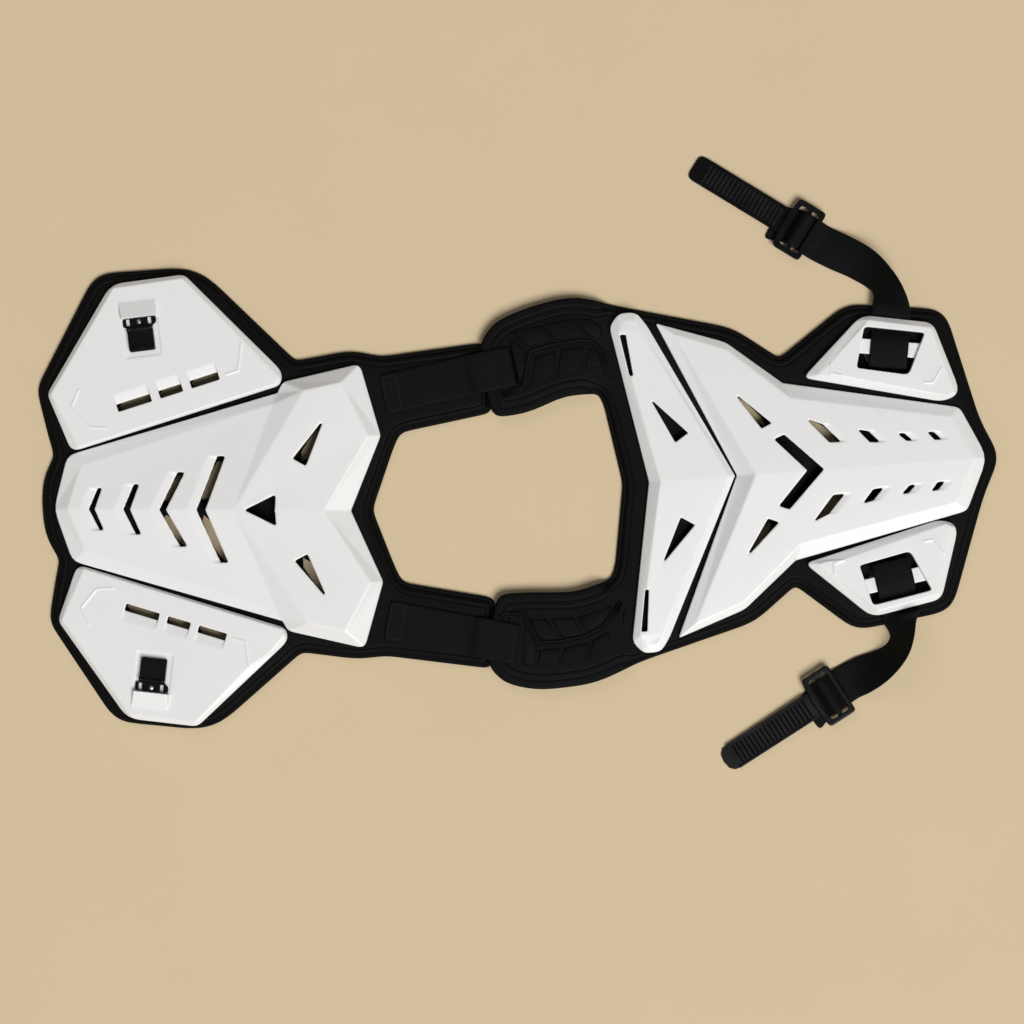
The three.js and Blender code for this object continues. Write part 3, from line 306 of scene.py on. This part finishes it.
def inset_line(bm, moves):
    """Presses a line inside the largest face, with no point moved far past its neighbours at a corner."""
    bmesh.ops.inset_region(bm, faces=[largest(bm)], thickness=MM, depth=0.0, use_boundary=True,
                           use_even_offset=True)
    ring = set(largest(bm).verts)
    for vert in ring:
        outer = next(e.other_vert(vert) for e in vert.link_edges if e.other_vert(vert) not in ring)
        inward, upward = moves(outer.co)
        move = vert.co.xy - outer.co.xy
        vert.co.xy = outer.co.xy + move.normalized() * min(move.length / MM, CORNER_REACH) * inward * MM
        vert.co.z = outer.co.z + upward * MM


def nearest_vert(parts, joint, line, low, high):
    """The corner of some faces nearest to a line beside a joint, within a part of the joint's length."""
    found = []
    for vert in {v for face in parts for v in face.verts}:
        past, along = beside_joint(vert.co, joint)
        if low < along < high:
            found.append((abs(past - line), vert.index, vert))
    return min(found, key=lambda row: row[:2])[2]


def split_field(field, joints, lines):
    """Splits a face by lines across it beside each joint."""
    parts = [field]
    for joint in joints:
        for line in lines:
            ends = [nearest_vert(parts, joint, line, low, high) for low, high in JOINT_HALVES]
            for face in parts[:]:
                if all(end in face.verts[:] for end in ends):
                    made = bmesh.utils.face_split(face, *ends)
                    if made:
                        parts.append(made[0])
    return parts


def fill_fields(bm, parts, openings, normal):
    """Fills faces anew with triangles, each round the openings inside it."""
    inside = bmesh.geometry.intersect_face_point
    loops = [(face.edges[:], [e for e in openings if inside(face, e.verts[0].co)]) for face in parts]
    bmesh.ops.delete(bm, geom=parts, context="FACES_ONLY")
    for border, holes in loops:
        bmesh.ops.triangle_fill(bm, use_beauty=True, edges=border + holes, normal=normal)


def even_outline(bm, joints):
    """Divides the outline evenly, smooths it, most of all at the joints, and gives its edges."""
    for edge in edges_at(bm, 0.0):
        cuts = int(edge.calc_length() // OUTLINE_STEP)
        if cuts:
            bmesh.ops.subdivide_edges(bm, edges=[edge], cuts=cuts)
    rim = edges_at(bm, 0.0)
    ends = [Vector(end) * MM for joint in joints for end in joint]
    corners = [v for v in verts_of(rim) if any((v.co.xy - end).length < JOINT_ROUND for end in ends)]
    for verts, rounds in ((verts_of(rim), OUTLINE_ROUNDS), (corners, JOINT_ROUNDS)):
        for _ in range(rounds):
            bmesh.ops.smooth_vert(bm, verts=verts, factor=0.5, use_axis_x=True, use_axis_y=True)
    for vert in verts_of(rim):
        vert.co.z = mixed("start", vert.co, joints)
    return rim


def pressed_top(bm, rim, openings, joints):
    """Fills the outline, presses the lines along its edge and lays the field inside them."""
    bmesh.ops.edgeloop_fill(bm, edges=rim)
    if largest(bm).normal.z < 0:
        bmesh.ops.reverse_faces(bm, faces=bm.faces[:])
    for flat, raised in zip(LINER_EDGE["steps"], PAD_EDGE["steps"]):
        inset_line(bm, lambda point: Vector(flat).lerp(Vector(raised), pad_share(point, joints)))
        bmesh.ops.remove_doubles(bm, verts=largest(bm).verts[:], dist=LINE_SLACK)
    for vert in largest(bm).verts:
        vert.co.z = mixed("top", vert.co, joints)
    fill_fields(bm, split_field(largest(bm), joints, JOINT_LINES), openings, (0, 0, 1))


def closed_foot(bm, openings, joints, under):
    """Closes the sheet with a rounded foot and the walls of its openings, and gives their crisp edges."""
    rim = [e for e in bm.edges if e.is_boundary and e not in set(openings)]
    low_rim = edges_of(bmesh.ops.extrude_edge_only(bm, edges=rim))
    bmesh.ops.translate(bm, verts=verts_of(low_rim), vec=(0, 0, -RIM_DROP))
    bmesh.ops.edgeloop_fill(bm, edges=low_rim)
    if largest(bm).normal.z > 0:
        bmesh.ops.reverse_faces(bm, faces=[largest(bm)])
    inset_line(bm, lambda point: (FOOT_ROUND / MM, 0.0))
    foot = largest(bm)
    foot_edges = foot.edges[:]
    walls = edges_of(bmesh.ops.extrude_edge_only(bm, edges=openings))
    pockets = [e for e in walls if pad_share(e.verts[0].co, joints) > 0.5]
    through = [e for e in walls if e not in set(pockets)]
    for vert in verts_of(pockets):
        vert.co.z = PAD_POCKET
    if pockets:
        bmesh.ops.edgeloop_fill(bm, edges=pockets)
    fill_fields(bm, split_field(foot, joints, JOINT_LINES[:1]), through, (0, 0, -1))
    for vert in verts_of(foot_edges + through):
        ground = under.ray_cast(Vector((vert.co.x, vert.co.y, FAR_BELOW)), Vector((0, 0, 1)))[0]
        vert.co.z = (ground.z if ground else 0.0) + FOAM_FOOT
    low_verts = set(verts_of(low_rim))
    for vert in verts_of(foot_edges):
        for low in {e.other_vert(vert) for e in vert.link_edges} & low_verts:
            low.co.z = min(vert.co.z + FOOT_ROUND, low.co.z)
    return openings + walls + foot_edges


def moulded_foam(name, liner, pads, material):
    """A foam sheet from the outlines and openings of a liner and of the pads that run on from it."""
    joints = JOINTS if pads else ()
    bm = bmesh.new()
    solids = bmesh.new()
    for replaced, edge in ((liner, LINER_EDGE), *((pad, PAD_EDGE) for pad in pads)):
        add_mesh(solids, solid_copy(replaced))
        add_mesh(bm, foam_lines(replaced, edge))
    under = BVHTree.FromBMesh(solids)
    solids.free()
    crease = bm.edges.layers.float.new("crease_edge")
    join_outlines(bm, joints)
    rim = even_outline(bm, joints)
    openings = [e for e in bm.edges if e not in set(rim)]
    pressed_top(bm, rim, openings, joints)
    crisp = closed_foot(bm, openings, joints, under)
    bmesh.ops.recalc_face_normals(bm, faces=bm.faces[:])
    for edge in crisp:
        edge[crease] = 1.0
    foam = place(name, bm, material)
    soften = foam.modifiers.new("soften", "SUBSURF")
    soften.levels = soften.render_levels = 1
    return foam


foam_material, shader = new_material("knit_faced_foam", Roughness=0.8, Specular_IOR_Level=0.1)
dust = noise(foam_material, scale=28.0, detail=5.0)
coords = node(foam_material, "ShaderNodeTexCoord").outputs["Object"]
knit = node(foam_material, "ShaderNodeTexVoronoi", Vector=coords, Scale=900.0).outputs["Distance"]
drive(foam_material, shader,
      Base_Color=ramp(foam_material, dust, FOAM_DARK, FOAM_DUSTY),
      Roughness=between(foam_material, dust, 0.5, 0.8),
      Normal=embossed(foam_material, knit, strength=0.35, depth=0.6 * MM))

for liner, pads in (("front_liner", ()), ("back_liner", ("shoulder_pad_upper", "shoulder_pad_lower"))):
    foam = moulded_foam(f"{liner}_foam", liner, pads, foam_material)
    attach(foam, "protector")
    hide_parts(liner, *pads)


# Relief of the shoulder pads: two rows of raised blocks and a pressed double ridge between them.
# It is moulded with the pad's foam and sinks with it towards the back panel.
BLOCK_LEVEL = 13.6 * MM
BLOCK_FOOT = 11.2 * MM
BLOCK_SPREAD = 1.5 * MM
BLOCK_RADIUS = 1.0 * MM
BLOCKS = {
    # corners of each block's top in mm: the panel beside the slot, the outer row and the inner row
    "upper": (
        ((-8.5, 124), (7.5, 111.5), (2.5, 80.5)),
        ((-4, 129.5), (23.5, 137), (32.5, 122.5), (11, 116.5)),
        ((28, 138), (54.5, 143), (66.5, 128.5), (37, 123)),
        ((59.5, 143), (72.5, 143), (83, 136.5), (82.5, 124.5), (71, 127.5)),
        ((18.5, 105), (37.5, 110.5), (34.5, 87.5), (14.5, 80)),
        ((44.5, 112.5), (66, 115.5), (62, 93.5), (40, 88.5)),
        ((72.5, 114), (79, 111.5), (83.5, 98), (68.5, 95)),
    ),
    "lower": (
        ((7, -160.5), (19, -185.5), (14.5, -202.5), (5.5, -201)),
        ((23, -187.5), (42.5, -186.5), (39.5, -200), (19.5, -203)),
        ((47.5, -186), (70.5, -181), (66.5, -195), (44, -199)),
        ((76, -178.5), (89.5, -170.5), (93, -177.5), (86.5, -187), (71.5, -193.5)),
        ((12.5, -157), (29, -157.5), (39, -175.5), (23.5, -176.5)),
        ((34.5, -157), (54.5, -155.5), (65, -171.5), (45, -174.5)),
        ((60, -155), (93.5, -144), (86.5, -158), (71.5, -168.5)),
    ),
}
RIDGE_ROUTES = {
    # points along the ridge in mm, from the strap's slot to the joint
    "upper": ((-14.5, 67.5), (7, 74.5), (13, 110.5), (34.5, 117), (62.5, 121.5), (72.5, 121),
              (80.5, 115.5), (86.5, 98.5), (94.5, 83.5)),
    "lower": ((-17.5, -155.5), (-13.5, -152), (6, -151.5), (20.5, -181), (42.5, -179.5), (67.5, -174.5),
              (85.5, -165.5), (90.5, -158.5), (103.5, -139.5)),
}
RIDGE_PROFILE = (
    # across the ridge and up from the pad, in mm
    (-3.3, -0.8), (-2.7, 0.5), (-2.0, 1.4), (-1.3, 1.5), (-0.6, 0.7), (0.0, 0.5), (0.6, 0.7), (1.3, 1.5),
    (2.0, 1.4), (2.7, 0.5), (3.3, -0.8),
)


def sweep(profile, stations):
    """Draws a closed profile of across and up offsets through stations of centre, across and up."""
    bm = bmesh.new()
    uv = bm.loops.layers.uv.new("weave")
    row = {bm.verts.new(): k for k in range(len(profile))}
    line = list(row)
    edges = [bm.edges.new(pair) for pair in zip(line, line[1:] + line[:1])]
    first = edges
    spots = {}
    travel = 0.0
    for number, (centre, across, up) in enumerate(stations):
        if number:
            travel += (centre - stations[number - 1][0]).length
            edges = edges_of(bmesh.ops.extrude_edge_only(bm, edges=edges))
            row = {v: next(row[e.other_vert(v)] for e in v.link_edges if e.other_vert(v) in row)
                   for v in verts_of(edges)}
        for vert, k in row.items():
            aside, rise = profile[k]
            vert.co = centre + across * aside * MM + up * rise * MM
            spots[vert] = (aside * MM, travel)
    for end in (first, edges):
        bmesh.ops.edgeloop_fill(bm, edges=end)
    bmesh.ops.recalc_face_normals(bm, faces=bm.faces[:])
    for face in bm.faces:
        for loop in face.loops:
            loop[uv].uv = spots[loop.vert]
    return bm


def flat_stations(points, level):
    """Stations along a flat route, with the across direction mitred at its corners."""
    route = [Vector((x * MM, y * MM, level)) for x, y in points]
    stations = []
    for k, point in enumerate(route):
        before = (point - route[max(k - 1, 0)]).normalized()
        after = (route[min(k + 1, len(route) - 1)] - point).normalized()
        along = (before + after).normalized()
        across = Vector((-along.y, along.x, 0))
        widen = 1 / max(along.dot(after if after.length else before), 0.5)
        stations.append((point, across * widen, Vector((0, 0, 1))))
    return stations


def raised_blocks(outlines):
    """Soft blocks with sloping sides from the outlines of their tops."""
    bm = bmesh.new()
    rings = [[bm.verts.new((x * MM, y * MM, BLOCK_LEVEL)) for x, y in outline] for outline in outlines]
    bases = [bm.faces.new(ring) for ring in rings]
    raised = bmesh.ops.extrude_face_region(bm, geom=bases)["geom"]
    crowns = [f for f in raised if isinstance(f, bmesh.types.BMFace)]
    for base in bases:
        middle = base.calc_center_median()
        for vert in base.verts:
            outward = Vector((vert.co.x - middle.x, vert.co.y - middle.y, 0)).normalized()
            vert.co += outward * BLOCK_SPREAD
            vert.co.z = BLOCK_FOOT
    bmesh.ops.recalc_face_normals(bm, faces=bm.faces[:])
    rims = list({e for f in crowns for e in f.edges})
    bmesh.ops.bevel(bm, geom=rims, offset=BLOCK_RADIUS, offset_type="OFFSET", segments=3, profile=0.5,
                    affect="EDGES", material=-1, clamp_overlap=True)
    return bm


for side in ("upper", "lower"):
    bm = raised_blocks(BLOCKS[side])
    add_mesh(bm, sweep(RIDGE_PROFILE, flat_stations(RIDGE_ROUTES[side], PAD_EDGE["top"] * MM)))
    for vert in bm.verts:
        vert.co.z -= PAD_EDGE["top"] * MM - mixed("top", vert.co, JOINTS)
    relief = place(f"shoulder_pad_{side}_relief", bm, foam_material)
    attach(relief, "protector")
    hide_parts(f"shoulder_pad_{side}")


# White plates: injection moulded plastic with a fine satin grain and softly rounded edges.
# They snap and rivet onto the liners, and their vents are moulded straight through.
PLATE_COLOUR = (0.80, 0.795, 0.785, 1.0)
WING_RIM = {"low": 13.8 * MM, "high": 17.8 * MM, "share": 0.55}
SIDE_RIM = {"low": 14.8 * MM, "high": 19.3 * MM, "share": 0.4}
PLATES = (
    # plate, step of its surface in mm, levels and narrowing of its rim
    ("chest_plate", 0.85, None),
    ("chest_wing_upper", 0.65, WING_RIM),
    ("chest_wing_lower", 0.65, WING_RIM),
    ("collar_plate", 0.7, None),
    ("back_plate", 0.8, None),
    ("side_plate_upper", 0.6, SIDE_RIM),
    ("side_plate_lower", 0.6, SIDE_RIM),
)
PLATE_ROUNDS = 5
PLATE_SHARE = 0.25


def crisp_rim(bm, low, high, share):
    """Moves the upper edge of a sloping rim outwards by a share of the slope's width."""
    spots = {}
    for vert in bm.verts:
        beside = [e.other_vert(vert) for e in vert.link_edges]
        below = [other for other in beside if abs(other.co.z - low) < LEVEL_SLACK]
        if below and abs(vert.co.z - high) < LEVEL_SLACK:
            nearest = min(below, key=lambda other: (other.co - vert.co).length)
            spots[vert] = vert.co.xy.lerp(nearest.co.xy, share)
    for vert, spot in spots.items():
        vert.co.xy = spot


def moulded_shell(name, replaced, step, rim, material):
    """A copy of a solid with evenly rounded folds and edges."""
    bm = solid_copy(replaced)
    if rim:
        crisp_rim(bm, **rim)
    made = place(name, bm, material)
    even = made.modifiers.new("even", "REMESH")
    even.mode = "VOXEL"
    even.voxel_size = step * MM
    even.use_smooth_shade = True
    soften = made.modifiers.new("soften", "SMOOTH")
    soften.factor = 0.5
    soften.iterations = PLATE_ROUNDS
    fewer = made.modifiers.new("fewer", "DECIMATE")
    fewer.ratio = PLATE_SHARE
    return made


plate_material, shader = new_material(
    "satin_white_plastic", Roughness=0.38, Coat_Weight=0.08, Coat_Roughness=0.25)
cloud = noise(plate_material, scale=14.0, detail=4.0)
grain = noise(plate_material, scale=1400.0, detail=2.0)
drive(plate_material, shader,
      Base_Color=ramp(plate_material, cloud, shade(PLATE_COLOUR, 0.965), PLATE_COLOUR),
      Roughness=between(plate_material, cloud, 0.32, 0.46),
      Normal=embossed(plate_material, grain, strength=0.12, depth=0.4 * MM))

for replaced, step, rim in PLATES:
    plate = moulded_shell(f"{replaced}_shell", replaced, step, rim, plate_material)
    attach(plate, "protector")
    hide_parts(replaced)


# Ratchet buckles: a black nylon base sits in the pocket of each wing and is held by one steel rivet.
# Its lever turns on a steel pin across the base. Both are injection moulded with slightly rounded edges.
BUCKLE_RADIUS = 0.35
FLAT_ANGLE = math.radians(0.1)
FOLD_ANGLE = math.radians(7.0)
FOLD_SEGMENTS = 2
NYLON_DARK = (0.001, 0.001, 0.0013, 1.0)
NYLON_WORN = (0.004, 0.0042, 0.005, 1.0)
STEEL_DULL = (0.36, 0.35, 0.33, 1.0)
STEEL_BRIGHT = (0.55, 0.54, 0.52, 1.0)


def rounded_copy(name, replaced, radius, material):
    """A copy of a small solid with its flat faces joined and its folds rounded."""
    bm = solid_copy(replaced)
    bmesh.ops.dissolve_limit(bm, angle_limit=FLAT_ANGLE, verts=bm.verts, edges=bm.edges)
    made = place(name, bm, material)
    rounding = made.modifiers.new("rounding", "BEVEL")
    rounding.width = radius * MM
    rounding.segments = FOLD_SEGMENTS
    rounding.limit_method = "ANGLE"
    rounding.angle_limit = FOLD_ANGLE
    rounding.use_clamp_overlap = True
    shading = made.modifiers.new("shading", "WEIGHTED_NORMAL")
    shading.keep_sharp = True
    return made


black_material, shader = new_material("black_nylon", Roughness=0.3, Specular_IOR_Level=0.22)
cloud = noise(black_material, scale=40.0, detail=5.0)
grain = noise(black_material, scale=1800.0, detail=2.0)
drive(black_material, shader,
      Base_Color=ramp(black_material, cloud, NYLON_DARK, NYLON_WORN),
      Roughness=between(black_material, cloud, 0.2, 0.36),
      Normal=embossed(black_material, grain, strength=0.1, depth=0.3 * MM))

steel_material, shader = new_material("rivet_steel", Metallic=1.0, Roughness=0.3)
cloud = noise(steel_material, scale=500.0, detail=4.0)
drive(steel_material, shader,
      Base_Color=ramp(steel_material, cloud, STEEL_DULL, STEEL_BRIGHT),
      Roughness=between(steel_material, cloud, 0.22, 0.42))

for side in ("upper", "lower"):
    for part, body in (("base", "protector"), ("lever", f"{side}_lever")):
        replaced = f"buckle_{part}_{side}"
        buckle = rounded_copy(f"{replaced}_moulding", replaced, BUCKLE_RADIUS, black_material)
        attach(buckle, body)
        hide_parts(replaced)
    for part in ("pin", "rivet"):
        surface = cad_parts[f"buckle_{part}_{side}"].data.materials
        surface.clear()
        surface.append(steel_material)


# Sliders and ladder straps: black nylon mouldings at the loose ends of the side straps.
# The webbing is wound over the slider's bar, and the ribbed ladder strap runs on from it to the buckle.
FITTINGS = (
    # fitting, radius of its edges in mm
    ("strap_slider", 0.9),
    ("ladder_strap", 0.4),
)
for side in ("upper", "lower"):
    for part, radius in FITTINGS:
        replaced = f"{part}_{side}"
        fitting = rounded_copy(f"{replaced}_moulding", replaced, radius, black_material)
        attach(fitting, "protector")
        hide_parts(replaced)


# Webbing straps: flat black polyester tape, woven with a fine cross rib and a firm edge.
# The shoulder straps are sewn on the front tabs; the side straps go round a bar and through a slider.
WEB_PROFILE = (
    # across the tape and up from its middle, in mm
    (-19.0, -0.35), (-19.0, 0.35), (-18.4, 0.82), (-10.0, 0.88), (0.0, 0.9), (10.0, 0.88), (18.4, 0.82),
    (19.0, 0.35), (19.0, -0.35), (18.4, -0.82), (10.0, -0.88), (0.0, -0.9), (-10.0, -0.88), (-18.4, -0.82),
)
WEB_WIDTH = 38 * MM
SHOULDER_WIDTH = 40 * MM
PANELS = {
    # place in mm and turn in degrees of each panel
    "front": (-282.60, -47.33, 1.0),
    "back": (216.30, -13.13, 4.2),
}
SEAT = 9.3
BAR_ROUTE = (
    # outward from the bar, up from the liner, sideways, in mm
    (6, 2.95, 0), (-5, 2.95, 0), (-16, 2.95, 0), (-18.8, 3.6, 0), (-19.6, 5, 0), (-17.5, 6.3, 0),
    (-8.6, 7.95, 0), (0, 8.3, 0), (8.6, 7.95, 0), (12.6, 5, 0), (15.6, 2, 0), (18.5, 0.9, 0), (32, 0.9, 0),
)
SLIDER_ROUTE = (
    # from the slider's bar towards the ladder strap, up from the table, sideways, in mm
    (-24, 1.2, 0), (-14, 3.4, 0), (-8.6, 3.45, 0), (-3.5, 8.35, 0), (0, 8.75, 0), (3.5, 8.35, 0),
    (7.6, 2.2, 0), (9.5, 1.2, 0), (16, 1.2, 3), (22, 1.2, 5), (27, 1.2, 6),
)
SHOULDER_ROUTE = (
    # from the sewn end, up from the table, sideways, in mm
    (0, 10.2, 0), (1.5, 10.2, 0), (30, 10.2, 0), (60, 10.2, 0), (84, 10.2, 0), (87, 10.6, 0), (91, 12.6, 0),
    (94, 13.3, 0), (112, 13.3, 0), (126, 13.4, 0), (129.4, 13.4, 0), (132.2, 12.7, 0), (133.4, 10, 0),
    (133.8, 5, 0),
)
SHOULDER_END = {"u": 149.8, "v": 112.8, "turn": 11.6}
SIDE_BAR = {"u": 157.8, "lean": 5.785, "v": 115.7, "turn": -9.1}
SIDE_RUNS = {
    # slider: u, v and turn; rows of the free run: u, v, height, plan angle of the width, roll
    "upper": ((83.9, 241.3, 144.3), (
        (167, 168.5, 22, -5, 42), (159.5, 184.5, 16.5, 24, 46), (142.5, 202.5, 10, 42, 25),
        (122, 216, 4.5, 54, 8))),
    "lower": ((78.9, -226.6, -151.3), (
        (154, -157, 21, 8, 40), (155, -171, 19.2, 0, 60), (149, -185, 18.4, -32, 59),
        (134.5, -197.5, 14.2, -52, 42), (115, -208.3, 6.2, -64, 13))),
}
RUN_STEPS = 6
WARP_PITCH = 1.9 * MM
WEFT_PITCH = 1.4 * MM
WEB_DARK = (0.001, 0.001, 0.0012, 1.0)
WEB_FADED = (0.0036, 0.0036, 0.0039, 1.0)
THREAD_DARK = (0.006, 0.006, 0.0065, 1.0)
THREAD_LIGHT = (0.016, 0.016, 0.017, 1.0)
STITCH_PITCH = 2.9 * MM
STITCH_SIZE = (1.2 * MM, 0.4 * MM, 0.3 * MM)
STITCH_BOX = {"from": 2.5, "to": 16.0, "half": 17.0, "level": 11.15}


def passage(u, v, turn, route, level=0.0, turned=0):
    """Rows of a straight passage of webbing: place, plan angle of its width and roll."""
    along_u, along_v = math.cos(math.radians(turn)), math.sin(math.radians(turn))
    return [(u + along * along_u - aside * along_v, v + along * along_v + aside * along_u, level + z,
             turn - 90 + turned, 0.0) for along, z, aside in route]


def free_run(before, rows, after):
    """Rows along a smooth curve through the rows between two passages."""
    stops = [Vector(row) for row in (*before[-2:], *rows, *after[:2])]
    run = []
    for k in range(1, len(stops) - 2):
        a, b, c, d = stops[k - 1:k + 3]
        for step in range(RUN_STEPS):
            t = step / RUN_STEPS
            if k > 1 or step > 0:
                run.append(0.5 * (2 * b + (c - a) * t + (2 * a - 5 * b + 4 * c - d) * t * t
                                  + (3 * b - a - 3 * c + d) * t ** 3))
    return run


def panel_lie(panel):
    """The place and turn of a panel on the table."""
    x, y, turn = PANELS[panel]
    return Matrix.Translation((x * MM, y * MM, 0)) @ Matrix.Rotation(math.radians(turn), 4, "Z")


def web_stations(panel, rows):
    """Stations for a sweep from rows in the frame of a panel."""
    lie = panel_lie(panel)
    places = [lie @ Vector((row[0] * MM, row[1] * MM, row[2] * MM)) for row in rows]
    stations = []
    for k, row in enumerate(rows):
        angle, roll = math.radians(row[3]), math.radians(row[4])
        flat = Vector((math.cos(angle) * math.cos(roll), math.sin(angle) * math.cos(roll), math.sin(roll)))
        across = lie.to_3x3() @ flat
        along = places[min(k + 1, len(rows) - 1)] - places[max(k - 1, 0)]
        stations.append((places[k], across, along.cross(across).normalized()))
    return stations


def stitch_row(bm, start, end):
    """A row of thread stitches from start to end."""
    count = max(round((end - start).length / STITCH_PITCH), 1)
    turn = Vector((1, 0, 0)).rotation_difference(end - start)
    for k in range(count):
        lie = Matrix.LocRotScale(start.lerp(end, (k + 0.5) / count), turn, STITCH_SIZE)
        bmesh.ops.create_icosphere(bm, subdivisions=2, radius=1.0, matrix=lie)


def worked(material, operation, first, second=0.0):
    """A value worked out from one or two others."""
    made = node(material, "ShaderNodeMath", {"operation": operation})
    feed(material, made.inputs[0], first)
    feed(material, made.inputs[1], second)
    return made.outputs[0]


web_material, shader = new_material("woven_webbing", Roughness=0.8, Specular_IOR_Level=0.12)
weave = node(web_material, "ShaderNodeUVMap", {"uv_map": "weave"}).outputs["UV"]
split = node(web_material, "ShaderNodeSeparateXYZ", Vector=weave).outputs
warp = worked(web_material, "SINE", worked(web_material, "MULTIPLY", split["X"], math.tau / WARP_PITCH))
weft = worked(web_material, "SINE", worked(web_material, "MULTIPLY", split["Y"], math.tau / WEFT_PITCH))
rib = worked(web_material, "ADD", worked(web_material, "MULTIPLY", warp, weft), weft)
fade = noise(web_material, scale=60.0, detail=5.0)
drive(web_material, shader,
      Base_Color=ramp(web_material, fade, WEB_DARK, WEB_FADED),
      Roughness=between(web_material, rib, 0.6, 0.9),
      Normal=embossed(web_material, rib, strength=0.4, depth=0.25 * MM))

thread_material, shader = new_material("black_thread", Roughness=0.6, Specular_IOR_Level=0.3)
ply = noise(thread_material, scale=1500.0, detail=3.0)
drive(thread_material, shader, Base_Color=ramp(thread_material, ply, THREAD_DARK, THREAD_LIGHT))

for side, sign in (("upper", 1), ("lower", -1)):
    slider, rows = SIDE_RUNS[side]
    turned = 90 - 90 * sign
    at_bar = passage(SIDE_BAR["u"] + SIDE_BAR["lean"] * sign, SIDE_BAR["v"] * sign,
                     sign * (SIDE_BAR["turn"] + 90), BAR_ROUTE, SEAT, turned)
    at_slider = passage(*slider, SLIDER_ROUTE, 0.0, turned)
    side_rows = [*at_bar, *free_run(at_bar, rows, at_slider), *at_slider]
    u, v, turn = SHOULDER_END["u"], SHOULDER_END["v"] * sign, SHOULDER_END["turn"] * sign
    shoulder_rows = passage(u, v, turn, SHOULDER_ROUTE)
    straps = (
        ("side_strap", "back", side_rows, WEB_WIDTH,
         [f"side_plate_{side}_shell", f"strap_slider_{side}_moulding"]),
        ("shoulder_strap", "front", shoulder_rows, SHOULDER_WIDTH, ["front_liner_foam", "back_liner_foam"]),
    )
    for part, panel, rows, width, below in straps:
        stations = web_stations(panel, rows)
        profile = [(across * width / WEB_WIDTH, up) for across, up in WEB_PROFILE]
        strap = place(f"{part}_{side}_webbing", sweep(profile, stations), web_material)
        soften = strap.modifiers.new("soften", "SUBSURF")
        soften.levels = soften.render_levels = 1
        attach(strap, "protector")
        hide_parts(f"{part}_{side}")

    near, far, half = STITCH_BOX["from"], STITCH_BOX["to"], STITCH_BOX["half"]
    corners = ((near, -half), (far, -half), (far, half), (near, half))
    lie = panel_lie("front") @ Matrix.Translation((u * MM, v * MM, 0))
    lie = lie @ Matrix.Rotation(math.radians(turn), 4, "Z")
    level = STITCH_BOX["level"] * MM
    spots = [lie @ Vector((along * MM, across * MM, level)) for along, across in corners]
    bm = bmesh.new()
    for start, end in zip(spots, spots[1:] + spots[:1]):
        stitch_row(bm, start, end)
    stitching = place(f"shoulder_strap_{side}_stitching", bm, thread_material)
    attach(stitching, "protector")
